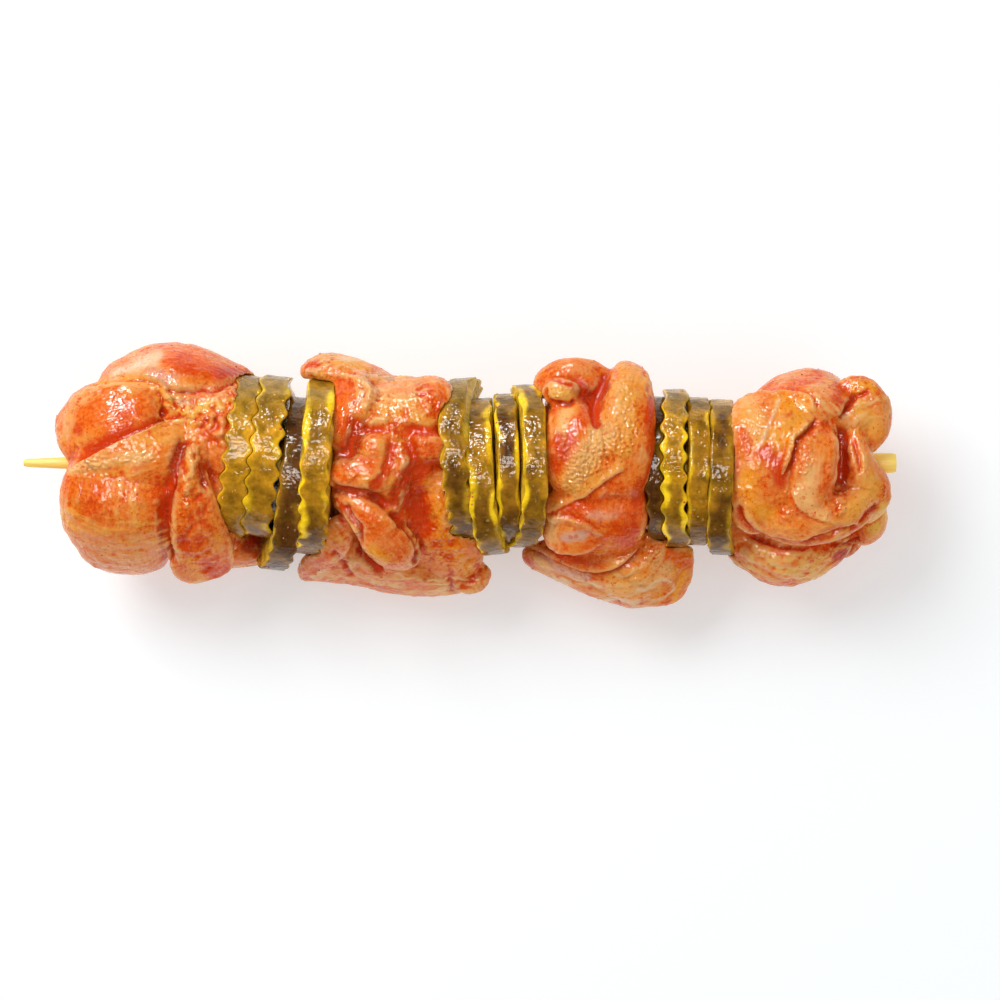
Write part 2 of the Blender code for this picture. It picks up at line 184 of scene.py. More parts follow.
# Each fold: its name and the way its broad side faces, then its stations, each x, y, z, width
# and thickness.
MEAT = {
    "meat_1": """
        core 0 0 1: -87 -3 -4 30 30, -70 -1 -4 38 36, -50 0 -4 34 30;
        far_side 0 1 .5: -84 16 1 15 11, -67 18 2 24 18, -46 13 -1 20 14;
        upper_left -.25 .3 1: -91 3.5 4 17 12, -81 9.5 10 20 13, -69 12.5 12 14 9;
        lower_left -.1 -.7 .7: -77 3 8 24 12, -79 -8 11 27 15, -78 -18 0 23 15, -77 -20 -14 20 13;
        rolled_edge 0 -.2 1: -90 -4 8.5 11 11, -77 -1 12 16 13, -62 4 12.5 13 10;
        middle 0 0 1: -69 11 8 15 9, -58 8 9.5 21 11, -47 2 9 22 12;
        hanging_flap .15 -.5 .9: -61 6 14.5 5 4, -61.7 -6 15.5 10.5 4.5, -60.6 -17 10.5 15.8 4,
            -58.8 -27.2 -2.5 18.5 4;
        flap_root 0 -1 .5: -59 2 9 12 8, -58 -10 7 14 9, -57 -19 -4 16 12;
        low_end 0 -1 .2: -66 -17 -9 18 12, -53 -19 -11 15 11, -43.5 -19 -13 9 8;
        underside 0 0 -1: -76 -19 -10 24 11, -73 0 -19 32 13, -72 19 -8 24 12
    """,
    "meat_2": """
        core 0 0 1: -32 -1 -4 32 28, -16 -1 -4 36 32, 2 -3 -4 32 26;
        far_flap 0 1 .3: -36 21.5 1 12 5, -31 22.5 3 14 5.5, -24 20.5 3 14 6, -15 17.5 2 14 6;
        far_side 0 1 .6: -30 11.5 1 20 11, -16 12 2 23 12, 0 12 0 21 12;
        left_panel -.4 .1 1: -26.5 19.5 7 13 6, -25.5 11 12.5 12 7, -27.5 2 13 8 6;
        centre 0 0 1: -30 0 10 14 9, -18 0 13 18 9, -6 1 12 16 9;
        centre_low 0 0 1: -29 -7 9.5 10 9, -17 -8 11 13 8, -10 -10 9 11 7;
        between 0 0 1: -17 12 11 10 9, -16.8 6 13 10 9, -16.5 0 12.5 8 8;
        upper_face 0 .3 1: -12.5 18.5 6 21 6, -11 12.5 11.5 21 9, -9 6 13 14 8;
        seam 0 0 1: -25 19 8 4 4, -21 16 12 4 5, -20.5 10 14 4 5;
        knob_low_left .1 0 1: -30.5 -2.5 13 8 7, -25 -2.6 15.4 8.5 7.5, -19.5 -2.4 15.8 9.5 7.5,
            -16 .5 14.8 7 6;
        knob_middle 0 0 1: -22.5 4 14 5 5, -19.5 3.6 15.8 6 6.5, -15.5 3.4 15.2 6 6;
        bent_ridge 0 0 1: -13.5 6 13.5 7 6, -12.5 1 14.3 8 7, -13.5 -5 13.6 8 7, -15.5 -10 11.5 6 6;
        knob_right 0 0 1: -12 3.8 12.5 3 4, -9 4 14.5 7 7, -5 3.5 13.5 8 7, 0 2 11 7 7;
        tongue -.1 -.4 .9: -29 -6 12.5 4 4, -22.5 -11.5 15 8 6, -16 -18.5 11.5 11.5 7,
            -11.5 -23.5 4 10 6;
        right_face .1 -.6 .7: -11 2 9 15 8, -7 -9 8 18 9, -3 -19 0 17 9, 1 -26 -8 14 8;
        near_side 0 -1 .5: -38 -26.5 -15 5 6, -26 -22 -9 19 11, -8 -24 -9 19 13, 5 -26 -11 13 9;
        corner_knob 0 0 1: -1 -28 -8 5 6, 3 -27 -7 7 6, 6 -23.5 -8 6 6;
        left_fold -.1 -.6 .8: -37.5 -26 -13 5 4, -30 -20 2 8 5, -27 -13 10 7 5;
        underside 0 0 -1: -18 -20 -11 26 12, -16 0 -19 30 13, -16 16 -9 26 12
    """,
    "meat_3": """
        core 0 0 1: 17 -1 -4 32 26, 32 -1 -4 35 32, 47 -2 -4 30 26;
        far_loop 0 .6 .8: 19.3 15 4 7 8, 22 18.8 5 8.6 9, 27.5 20.2 5 7.5 9, 34.5 19.6 3 6 8;
        far_side 0 1 .3: 20 10 -2 20 12, 32 12.5 -2 22 12, 44 12 -3 22 12;
        small_lump 0 0 1: 19.8 15.6 10 5 5, 23.4 16.5 12 6 6, 27 15.8 10 5 5;
        hollow 0 .3 1: 24 15.5 5 10 8, 30 15 6.5 11 9, 36 15 5 10 8;
        right_roll .15 .1 1: 39.5 21.5 1 10 9, 38.8 15 10 12 11, 38.3 4 13.5 14 11, 37 -8 11.5 15 9;
        left_lobe -.1 0 1: 24.5 14 8 10 7, 26 5 13.5 13 9, 26.5 -7 12 14 8;
        saddle 0 0 1: 31.3 12 9 7 8, 31.5 3 13.5 15 9, 31.5 -8 12 18 8;
        pink_layer 0 -.5 .9: 31 -4 9.5 25 8, 31.5 -12 9 24 8, 31 -19 1 23 9;
        lower_flap -.1 -.6 .8: 19.5 -14.5 6.5 9 5, 27 -16.5 7.5 11 6, 36 -15 6.5 9 6;
        near_side 0 -1 .8: 14.5 -21.5 -9 8 6, 28 -23.3 -4.5 16 9, 42 -27 -6 18 10, 51 -27.5 -9 13 7;
        right_flap .2 -.4 .9: 34 -21 0 17 7, 44 -24.8 -2.5 19 6, 54.5 -25.5 -6.5 17 3.5;
        underside 0 0 -1: 30 -22 -10 24 12, 31 0 -19 26 13, 31 16 -9 24 12
    """,
    "meat_4": """
        core 0 0 1: 63 -1 -4 30 26, 80 -1 -4 34 32, 94 -2 -4 26 24;
        left_panel -.1 .1 1: 70.5 15.5 5 19 8, 70.5 7 12 20 8, 68.5 -5 12 18 9, 72 -15 8 17 9;
        leaf 0 0 1: 83.2 9 9 7 5, 81.4 3 13.5 10.6 7, 80 -5 13 12 8, 82 -12 11 12 8;
        far_side 0 1 .5: 68 11 0 20 10, 81 14.5 3 22 12, 91 12 1 18 11;
        ear .5 .3 .8: 87 15.5 5 6 7, 91.5 16.8 4.5 7 8, 95.6 13.6 4.5 7.2 8, 95.6 7.6 4.5 8 8,
            92.5 3 4 7 7; ear_middle .4 .2 .9: 87 10.5 7 6 6, 91.5 11.5 7 8.5 6, 95.5 10.5 6 8 6;
        right_band .5 -.2 .9: 91 8 7 5 6, 92 0 7.5 8 8, 94.5 -7 4 12 9, 91 -12 6 10 8;
        swirl 0 -.4 1: 68 -9 8.5 12 9, 77 -13 9.5 12 10, 88 -12 9 11 9, 95 -8 4.5 9 8;
        left_corner -.2 -.8 .5: 64.5 -9 0 9 9, 64 -15 -2 9 9, 66 -20 -6 9 8;
        corner_lobe .6 -.5 .4: 92 -8 -3 9 9, 95.5 -13 -4 9 9, 93 -18 -7 7 7;
        near_side 0 -.9 .5: 62.2 -17 -4 12 9, 74 -22.4 -3 16 10, 82 -21.6 -4 14 9, 91 -17.2 -4 7 8;
        low_lip 0 -.6 -.3: 85 -19.6 -9 6 5, 90 -20 -9 6 4, 94 -16.4 -10 5 4;
        underside 0 0 -1: 79 -20 -10 22 12, 80 0 -19 28 13, 80 13 -9 24 12
    """,
}

# Knife and brush strokes on the shown side: what each does, its colour, its half width and how
# strong it is (a height in millimetres for relief, a share for colour), then its points x, y.
# A row that starts with a colour does what the row before it does. A lap raises what lies to the
# left of its line over what lies to the right. Grooves paint their floor and laps their low side,
# partly as painted shade; deep and red tints in hollows and gaps are partly painted shade; a few
# pale and cream tints are painted highlights and sheen.
STROKES = {
    # meat_1: the cream tint over the far lobe at y 20 to 24 is painted sheen, the pale tint along
    # the rolled edge at y -2 to 2 is a painted highlight, and the deep tints by the first pickle
    # and at the far lobe's right end are partly painted shade.
    "meat_1": """
        tint orange 5 .75: -88 9, -80 12, -73 13; red 2.2 .82: -85 3, -81 5, -76 7.5;
        red 1.5 .72: -89 8.5, -87.5 7; pale 2.2 .5: -91 6, -88 13.5, -84 16.5;
        cream 2.6 .9: -79.5 20, -76 21.2, -73 23.2, -70 24.2; lilac 2 .7: -72 19.6, -67.5 18.6;
        orange 4 .85: -66 24.5, -58 22.5, -52 20.5; red 2 .72: -56 19.5, -50 20;
        pale 2.2 .7: -89 -1.8, -83 -.6, -77 .8, -71 1.5; apricot 3 .6: -73 4.5, -66 6, -62 8;
        orange 4.2 .85: -82.5 -6, -84 -11; pink 3.6 .3: -77 -5, -75.5 -13;
        orange 3 .75: -69 -4, -69.5 -12, -71 -20; pink 5 .6: -84 -17, -78 -20, -70 -20;
        orange 5 .65: -61 -12, -60 -20, -57 -25; red 1.8 .82: -63.5 -16.5, -62.8 -20;
        amber 2.4 .7: -62 -23, -60.5 -26; pale 1.1 .8: -61.5 -28.6, -57 -28.2, -53 -27.3;
        deep 3.5 .95: -50 -17, -46 -20; fat 1.3 .8: -66.3 16, -66 13.5;
        cream 1.4 .9: -63.8 14, -61.8 13; cream 1.2 .8: -58 16.3, -57 16.2;
        fat 1.6 .9: -67.5 10.6, -64 10.2, -61.5 10.6; amber 1.8 .9: -52 14.2, -51 13;
        red 3 .5: -64 21.5, -54 20.8; red 2 .9: -56 20.8, -50 20.3; orange 5 .4: -80 -6, -78 -14;
        orange 3.6 .7: -62 -13, -60 -19, -58 -24; fat 2 .8: -66 11, -60 12.5, -54.5 13.4;
        orange 2.4 .8: -58 7, -53 9, -50 14; deep 4 .95: -51 -18, -46 -19.5;
        lilac 2.4 .5: -70.5 21, -66 19; red 1.6 .8: -66 -4, -67 -10, -67.3 -18;
        deep 2 .6: -55 21, -50 20.4;
        lap red 4.5 1.3: -62.5 10.5, -68.1 9.2, -74.6 6.2, -79.7 3.8, -83.8 1.4, -89 -1.2;
        groove apricot 1.8 1.1: -86 18.3, -80 19, -76 19.2, -71.2 18.7, -67.8 16.7;
        pink 1.8 1.3: -67.8 16.7, -62.7 15.9, -59.3 16.6, -54.2 17.6, -48 20.3;
        apricot 1.6 1: -70 17, -68.2 14, -68.1 9.6;
        deep 2.4 2.2: -62.3 6, -64.4 1.1, -65.4 -4, -66.9 -9.1, -67.5 -14.2, -67.2 -19.3, -66 -24;
        ridge apricot 1.8 .9: -61.2 4, -61.2 -2, -62.8 -8;
        groove deep 2.6 1.6: -58.6 1.4, -58 -3, -57.5 -7; red 2.4 .9: -63.6 -16.5, -63.2 -20.5;
        ridge orange 1 .4: -53.2 -17, -53.2 -21, -52.8 -26.5;
        orange 1.3 1: -57.8 9.2, -56 10.6, -54.3 9, -54.8 6.8, -57 6.4;
        fibre apricot 6 .12: -90 -14, -80 -17.5, -68 -17; pink 5 .12: -86 -21, -78 -24, -67 -23;
        apricot 4 .12: -78 -3, -76 -10, -76 -14; grain orange 4.5 .55: -66 12, -58 12, -50 17;
        red 5 .55: -60 5, -54 7, -49 3; red 4 .3: -61 0, -60 -10, -59 -22;
        wet none 1.8 1: -88 -1.6, -83 -.4, -77 1, -71 1.5; none 3.5 .8: -66 14, -58 11, -51 13;
        none 2.5 .8: -61.5 3, -62 -6, -64 -16; none 3 .6: -80 20.5, -72 24;
        dry none 7 .8: -84 13, -75 12; none 9 .8: -82 -10, -72 -12
    """,
    # meat_2: the pale ridge at y 8 to 10 is partly a painted highlight; the red and deep tints on
    # the low face at x -12 to -8 are partly painted shade.
    "meat_2": """
        tint amber 3.4 .9: -33 19, -31 24.5, -22 23; red 2 .95: -35 21.5, -33 23;
        orange 4.2 .7: -26 18, -26.6 9; pink 5 .7: -20 17, -14 16, -9 19;
        apricot 4 .6: -18 12, -12 12; orange 3.4 .95: -7.5 17, -5.5 13, -4.5 10;
        red 1.4 .82: -9.4 17.6, -8.8 15.5; apricot 2.2 .8: -12 12, -10.5 9.8, -6.5 9;
        orange 3.5 .75: -28 -2, -24 -3, -19 1, -18.5 5; apricot 1.6 .7: -22 -3.2, -20.5 -5;
        apricot 2 .6: -18 4.5, -17 2; orange 2.8 .75: -9.5 4, -5 3;
        red 4.5 .95: -9 -3.5, -9.5 -9, -8 -15; deep 2.6 .65: -11 -5, -12 -10;
        orange 3 .5: -23 -10.5, -19 -15, -14.5 -20; amber 2.2 .8: -20.5 -20, -17.5 -22;
        orange 3 .65: -14 -17, -13 -21; red 2.6 .82: -28.5 -9, -27 -14;
        lilac 2.6 .45: -28 -22, -22 -25, -14 -27.5;
        orange 2.6 .95: -37.5 -27.5, -33.5 -24.5, -31 -22; orange 4.5 .85: -3 -8, -2 -16, 0 -23;
        red 2.2 .82: 4 -24, 1 -29; pink 2.8 .7: -10 -27, -3 -28; amber 4 .6: -4 -12, -2 -19, 1 -24;
        orange 3 .4: -23 -26, -8 -28; amber 3 .5: -6 -6, -3 -13;
        ridge pale 1.1 .8: -28.2 20.5, -24 19.2, -21 17.3, -20.8 14.8, -21.6 12;
        groove deep 3.8 1.1: -22.8 12, -24 6.5, -25.5 2.4, -28.4 .8;
        red 2 .6: -12.2 9.2, -11.2 7.9, -8 7.1, -3.2 7.3;
        orange 1.4 .35: -12.6 13, -12 10, -12.2 8.6; ridge pale 1.3 .9: -21 8.8, -18.5 9.8, -16 9.2;
        groove red 1.3 .7: -22 8, -19.5 7.6, -16.5 7.6;
        red 2 .6: -15.4 5.8, -15.6 3, -16.5 -1, -18.8 -4.8, -21 -6.4;
        orange 1.2 .2: -23 1.6, -21 -.2, -18.8 -.6;
        deep 1.8 1: -29.5 -5, -25.6 -6.6, -21.5 -7.2, -18 -8.8, -16.5 -11;
        deep 2.4 .6: -11.4 5.6, -10.6 1, -12 -2.6, -13.9 -6.6, -15.7 -11;
        red 2.2 .4: -10.8 -1.6, -7 -1, -2.8 .2; hollow red 5 1.4: -9 -4, -9.5 -10, -8 -14;
        groove deep 1.7 1.6: -26.6 -9, -24.6 -13, -22.9 -15.2, -22.9 -18, -23.2 -20.4, -20.2 -23.8,
            -17.6 -25.5; deep 1.6 1.5: -15.8 -11, -13.2 -14, -10.3 -16.8, -9.1 -20, -10.6 -24.4;
        red 1.3 .9: -30 -20.5, -27.5 -22.6, -25 -26.8;
        orange 1.4 .8: -1.5 -24.5, -2.2 -27, -1.8 -31;
        fibre cream 3 .3: -35 21, -28 22.4, -20 20.6, -15 20.2;
        pale 3.6 .28: -21 16.8, -14 17.6, -5 19.2; pale 3.4 .25: -21.5 14.2, -15 12.8, -9 12.4;
        pale 3 .3: -28.6 -10, -27.4 -14, -24.5 -18, -25 -24;
        pale 3.2 .3: -35 -26.8, -28 -24.6, -20 -26.6, -8 -28.6, 3 -29;
        grain red 5.5 .22: -8 -10, -5 -18, 0 -26; orange 3 .3: -34.5 22, -31 23;
        red 3 .35: 3 -27, 6 -24; wet none 2.4 1: -22.5 3.4, -21.5 1.5;
        none 1.6 1: -29 -.4, -27.5 -.6; none 1.8 1: -25.6 -2.2, -24.6 -3.4;
        none 2 .9: -14.4 5, -14 2; none 1.6 .9: -10 5.6, -8.5 4.6;
        none 2.2 .8: -16.5 -13, -13 -16, -11 -19; none 2.5 .8: -34 22, -31 23;
        none 3 .6: -10 17, -5 12; none 4 .5: -5 -10, -3 -20, 3 -26
    """,
    # meat_3: the deep tints and the deep groove in the hollow at x 27 to 33, y 14 to 18 are partly
    # painted shade.
    "meat_3": """
        tint pink 2.4 .7: 24 22.4, 30 21.8; orange 2.6 .85: 19 18.5, 20.5 16, 21.5 12;
        amber 2.2 .9: 21.5 16.5, 25.5 16; amber 3.2 .8: 38 22, 42 19;
        apricot 4 .8: 37.5 17, 38 9, 37 3; pale 2.6 .85: 24.5 11.5, 23.6 7;
        red 2.6 .87: 22.5 5, 22.8 -2, 26 7; orange 3.4 .85: 28 10, 27.5 4, 24 -6;
        apricot 2 .7: 22 -9.6, 30 -5.4, 37 -.5; orange 2.4 .95: 25 -10.6, 32 -8, 38 -6;
        lilac 2 .5: 29.5 -12, 33.5 -12.2, 37 -11.2; red 3.6 .82: 42 -6, 40.5 -12, 38.5 -18;
        red 1.8 .95: 44 14, 44.2 5, 44.2 -8, 44 -15; lilac 1.8 .9: 24.6 -17.4, 28.6 -17;
        pale 2.4 .7: 21.3 -13, 21.4 -17.5; orange 2.4 .85: 29 -19.6, 34 -18, 36 -15;
        amber 1.8 .7: 33 -20.6, 36.5 -19.4; lilac 1.8 .7: 19 -21.6, 24 -24.6, 30 -26.4;
        red 1.8 .92: 15.4 -21.4, 16.4 -24; pale 3.4 .7: 36 -29.4, 43 -29, 48 -25;
        amber 1.2 .95: 54.2 -20, 52.6 -25.6, 50.8 -29, 50.2 -32.4;
        red 2.4 .6: 24 -22, 32 -22.5, 37 -19; orange 3 .8: 46 -20, 53 -23;
        deep 3 .95: 27.5 16.4, 30.5 15, 32.6 18; deep 2.6 .9: 28.2 17, 31 14;
        orange 3.4 .7: 30 -9, 36 -10, 40 -12; apricot 3 .6: 36 -27, 44 -27;
        fat 2.2 .7: 22 15.6, 26 15.2; orange 3.4 .6: 48 -19, 53 -23;
        apricot 5 .85: 33 7, 30 2, 26 -4; pale 4 .7: 33 7, 30 2, 27 -3;
        groove red 1.6 1.2: 33.9 21, 32.5 17.2, 31.3 14.4, 31 12.3, 31.3 9.5, 31.9 7.2;
        deep 3 1.2: 32.4 18, 30.6 15.6, 28.6 14.4;
        orange 1.1 1: 20.2 17.6, 19.8 15.5, 21 14, 25 13.4, 27 14.8;
        red 1.2 .8: 20.8 19.4, 24 18.6, 26.8 17.6;
        lap orange 3.2 .7: 19.4 -12.1, 24.6 -9.8, 30.1 -6.8, 34.3 -3.8, 38.6 -1;
        orange 2.6 1: 33 -16.2, 29.5 -14.3, 25.2 -12.8, 19.4 -12.3;
        red 2.6 1: 18.8 -18.4, 23 -20.4, 28 -20.8, 33.5 -18.8;
        deep 2.4 1: 16 -19.3, 22.1 -22.4, 28.2 -24.8, 34.3 -25, 38.3 -23, 41.8 -19;
        fibre pale 2.4 .3: 22.6 -12.4, 20.8 -15.5, 21.6 -19;
        pale 2.6 .28: 18 -22.6, 25 -26.4, 33 -28, 41 -26.4, 46 -21;
        cream 3 .25: 22 -26.8, 31 -30, 41 -31.4, 48 -28.6;
        orange 3 .15: 22 -21, 28 -22.6, 34 -21.6, 38.4 -17; orange 3 .15: 24 21, 31 21;
        apricot 3.6 .14: 38 14, 36 2, 28 -5; grain red 2.2 .35: 43.6 20, 44.6 16;
        orange 3 .2: 37.5 -7, 36 -6; wet none 5 1.2: 36 20, 37.5 12, 37.5 5;
        none 5 2: 34.5 6.5, 30.5 2, 26 -3.5; none 2.2 1: 23 6, 24 2;
        none 2 .9: 22 12.6, 21.5 15.5, 25 16.5; none 3.2 .8: 43 -19, 46 -22.5, 51 -23.5;
        none 1.8 .6: 37 -7
    """,
    # meat_4: the thin cream ridge on the left panel is a painted highlight; the deep tints in the
    # gap right of the leaf and in the hollow by the ear are partly painted shade.
    "meat_4": """
        tint apricot 4.5 .7: 66 14, 67.5 6; amber 4.2 .8: 74.5 13, 78.5 12, 74 6;
        red 1 .72: 75 10.8, 76 11; orange 2.2 .85: 65 7.5, 66 3;
        red 3.4 .95: 70.4 1.8, 72.8 0, 73.6 -3.6; amber 3 .7: 66.5 -3, 67 -9, 71 -12;
        red 1.6 .95: 63 4, 63 -3; pale 3.4 .7: 80.5 -3, 79 -8, 83 -12; orange 2 .75: 82 8, 86 8.4;
        orange 1.8 .85: 83.5 -5, 86 -8; pink 3 .7: 70 -15.5, 78 -17.5, 88 -15.4;
        pink 4 .6: 76 19.6, 82 18, 85.5 14; orange 2.6 .75: 77 18, 83 20;
        deep 1.4 .85: 87.2 18.2, 88 16.6; amber 2.4 .85: 91.5 17.5, 94.5 17;
        apricot 3.6 .95: 93 12, 95.5 8; pink 1.6 .7: 98.8 13, 99 8;
        deep 1.8 .95: 88.6 6, 88.8 0, 88.4 -5; pink 3 .7: 92 3, 93.5 -2, 92 -6;
        apricot 4.2 .9: 95 -5, 91 -11; fat 3 .95: 98.4 -11, 96.4 -15.4;
        deep 1.8 .95: 87.5 -21.6, 92 -20.4; fat 5.5 .8: 70 -23, 82 -23.6;
        amber 2 .7: 72 -21.4, 80 -21; orange 1.6 .75: 67 -22, 72 -25.4; pale 3 .4: 67 14, 68.5 7;
        orange 2.2 .7: 87 17, 88 12.5; pale 3 .4: 81 0, 80 -8; orange 2.6 .5: 69 -27, 76 -28;
        pale 4.5 .5: 70 -22, 80 -23; red 1.6 .6: 73 -20.6, 82 -19.6, 88 -18.6;
        red 2 .9: 89 12.6, 90.6 14.4; pale 2.2 .6: 64.5 -10, 66 -15; red 2.2 .7: 87 14.5, 88.4 11;
        lap red 3.4 1.3: 74 -3.6, 76.2 2, 77.2 5.5, 80 7.9, 82 10.8;
        orange 2.6 .9: 82 11.2, 81.2 14.4, 79.4 15.9, 76 16.5, 71.5 16.2, 67 17.8;
        ridge cream .6 .15: 73.9 14.6, 71 8.6, 68.2 2.8;
        lap deep 3 1.2: 85.8 -6.4, 86.6 -1, 86.8 4, 86.5 9.6;
        groove deep 2 1.2: 87.9 8.4, 88.2 2, 87.8 -5.6; deep 1.5 1.6: 92 16.4, 89.4 12.4, 87.8 9.4;
        red 1.1 .9: 95 16.6, 91.8 15.4;
        red 1.8 1.5: 63.8 -9.4, 65.6 -14, 68.6 -16.9, 74.3 -18.9, 79 -19.2, 86 -16.4, 93 -14.9;
        lap orange 2.6 .6: 75.6 -5.6, 78 -10.6, 82.3 -13.2, 87 -14.4;
        groove red 1.4 1.2: 92 -14.6, 94.6 -11.6, 97 -9.4;
        deep 1.2 1.1: 86 -18.6, 90 -18.6, 93.4 -17.4; orange 1.4 .8: 90.4 6, 92 1, 92.6 -3;
        fibre orange 2.8 .2: 83.6 12, 83.8 8, 84.4 4; pale 3 .22: 82 15, 85.5 11.5, 88 9;
        pale 3 .25: 91 9, 94 12, 98.4 13; apricot 3.6 .15: 66 -12, 70 -15.6, 78 -17, 88 -14.6;
        pale 4.5 .4: 66 -20.4, 74 -25.4, 83 -25.6, 91 -19; apricot 3 .15: 93 1, 93.5 -5, 89 -11;
        grain red 2.2 .5: 87.4 -6, 87.8 -10; orange 2 .35: 80 -18.8, 88 -17;
        orange 5 .2: 70 -23, 82 -23; wet none 2.6 1: 79 5, 79.4 1, 79 -1.6;
        none 3.2 .9: 70.5 13.5, 69 8; none 1.6 1: 78.6 7.4, 76.4 4, 74.6 -2.4;
        none 2.2 .8: 65 6, 65.6 2; none 2 .9: 87 -11, 88 -8; none 3 .7: 91 -12, 94 -10
    """,
}


def rows_of(text):
    """Rows of a table: the words before each colon, and the points after it."""
    rows = []
    for row in text.split(";"):
        head, points = row.split(":")
        points = [tuple(float(word) for word in point.split()) for point in points.split(",")]
        rows.append((head.split(), points))
    return rows


def folds_of(name):
    """The facing and the stations of each fold of a meat piece."""
    return [(Vector([float(word) for word in head[1:]]), at) for head, at in rows_of(MEAT[name])]


def strokes_of(name):
    """Kind, colour, half width, strength and points of each stroke on a meat piece."""
    strokes = []
    for head, points in rows_of(STROKES[name]):
        *named, tint, width, amount = head
        kind = named[0] if named else strokes[-1][0]
        strokes.append((kind, tint, float(width), float(amount), points))
    return strokes


# What a user can change


def colour(name, description, default):
    return FloatVectorProperty(
        name=name, description=description, subtype="COLOR", size=3, min=0, max=1, default=default
    )


def number(name, description, default, **more):
    return FloatProperty(name=name, description=description, default=default, **more)


def length(name, description, default):
    return number(name, description, default, unit="LENGTH", min=0)


def light_power(name, description, default):
    return number(name, description, default, unit="POWER", min=0)


def how_many(name, description, default):
    return IntProperty(name=name, description=description, min=0, default=default)


class ChickenLook(bpy.types.PropertyGroup):
    """Sizes and colours of the marinated chicken"""

    grain_size: length("Grain size", "Width of the mesh's faces on the meat", 0.45 * MM)
    relief: length("Relief", "Height of the lumps all over the meat", 0.33 * MM)
    fibre: length("Fibre", "Height of the strands that follow each fold", 0.16 * MM)
    flesh: colour("Flesh", "Meat under thin marinade", (0.90, 0.23, 0.018))
    apricot: colour("Apricot", "Lightly coated meat", (0.96, 0.40, 0.05))
    # Pale and cream also paint highlights and sheen in a few ridge and tint strokes.
    pale: colour("Pale", "Bare meat on ridges and strands", (0.97, 0.53, 0.18))
    cream: colour("Cream", "Sinew and white fat", (0.97, 0.68, 0.44))
    pink: colour("Pink", "Bare meat in the hollows", (0.90, 0.33, 0.10))
    lilac: colour("Lilac", "Meat under its silver skin", (0.74, 0.38, 0.30))
    orange: colour("Orange", "Meat under thick marinade", (0.88, 0.13, 0.004))
    amber: colour("Amber", "Marinade oil", (1.0, 0.36, 0.006))
    # Red and deep red are paste, and they also paint the shade in creases, grooves, laps and
    # hollows.
    red: colour("Red", "Paprika paste", (0.72, 0.05, 0.002))
    deep: colour("Deep red", "Paprika paste in the creases", (0.40, 0.02, 0.003))
    fat: colour("Fat", "Yellow fat", (0.98, 0.54, 0.08))
    bare: colour("Bare", "Meat that the marinade has run off", (0.96, 0.54, 0.20))


CHICKEN_SIZES = ("grain_size", "relief", "fibre")
COLOUR_FIELDS = [field for field in ChickenLook.__annotations__ if field not in CHICKEN_SIZES]


class PickleLook(bpy.types.PropertyGroup):
    """Sizes and colours of the pickle slices"""

    edge_radius: length("Edge radius", "Rounding between a slice's rim and its cut faces", 0.5 * MM)
    ripple_gain: number("Ripple gain", "Ripple height against the solid's", 1.0)
    # Dark skin also paints the shade on the near, low side of each slice.
    dark: colour("Dark skin", "Skin of the brownest slices", (0.12, 0.042, 0.007))
    light: colour("Light skin", "Skin of the yellowest slices", (0.66, 0.32, 0.012))
    green: colour("Green skin", "Skin on top of the slices", (0.25, 0.155, 0.02))
    edge: colour("Edge", "Lit edge of the flesh", (0.95, 0.62, 0.012))
    flesh: colour("Flesh", "Cut faces", (0.66, 0.42, 0.03))
    glow: number("Glow", "Light through the edges of the slices", 0.26)


class SkewerLook(bpy.types.PropertyGroup):
    """Colours of the bamboo skewer"""

    light: colour("Light grain", "Bamboo between the strands", (1.0, 0.75, 0.15))
    dark: colour("Dark grain", "Bamboo strands", (0.94, 0.60, 0.10))
    # Glow is painted light: an emission that brightens the stick as if it were better lit.
    glow: number("Glow", "Light that the clear wood carries", 0.12)


class SpiceLook(bpy.types.PropertyGroup):
    """Counts and colours of what is scattered on the meat and the pickles"""

    paprika_count: how_many("Paprika flakes", "Flakes on the meat", 1500)
    stray_count: how_many("Stray flakes", "Flakes on the pickles", 70)
    pepper_count: how_many("Pepper grains", "Dark grains on the meat", 36)
    bead_count: how_many("Brine beads", "Drops on the pickles", 160)
    paprika: colour("Paprika", "Paprika flakes", (0.66, 0.09, 0.008))
    pepper: colour("Pepper", "Pepper grains", (0.035, 0.012, 0.008))
    brine: colour("Brine", "Drops of brine", (1.0, 0.97, 0.85))


class StudioLook(bpy.types.PropertyGroup):
    """Lights, floor and camera"""

    lens: number("Lens", "Focal length in millimetres", 155, min=1)
    view_width: length("View width", "What the camera takes in at the skewer", 0.2328)
    view_x: length("View X", "Middle of the view along the skewer", 9.37 * MM)
    view_y: number("View Y", "Middle of the view across the skewer", -8.61 * MM, unit="LENGTH")
    key_energy: light_power("Key", "Power of the key light", 7.9)
    glint_energy: light_power("Glint", "Power of the light seen in wet spots", 10)
    top_glint_energy: light_power("Top glint", "Power of the glint from above", 6.5)
    far_glint_energy: light_power("Far glint", "Power of the glint from behind", 7)
    fill_energy: light_power("Fill", "Power of the fill light", 2.6)
    sky: number("Sky", "Strength of the white surround", 0.38)
    floor: colour("Floor", "Studio floor", (0.68, 0.715, 0.73))
    floor_glow: number("Floor glow", "Light from under the white floor", 0.38)


class KebabLook(bpy.types.PropertyGroup):
    """All that a user would change on the kebab"""

    chicken: PointerProperty(type=ChickenLook)
    pickle: PointerProperty(type=PickleLook)
    skewer: PointerProperty(type=SkewerLook)
    spice: PointerProperty(type=SpiceLook)
    studio: PointerProperty(type=StudioLook)


# Objects and meshes


def add_mesh_object(name, mesh):
    obj = bpy.data.objects.new(name, mesh)
    bpy.context.scene.collection.objects.link(obj)
    return obj


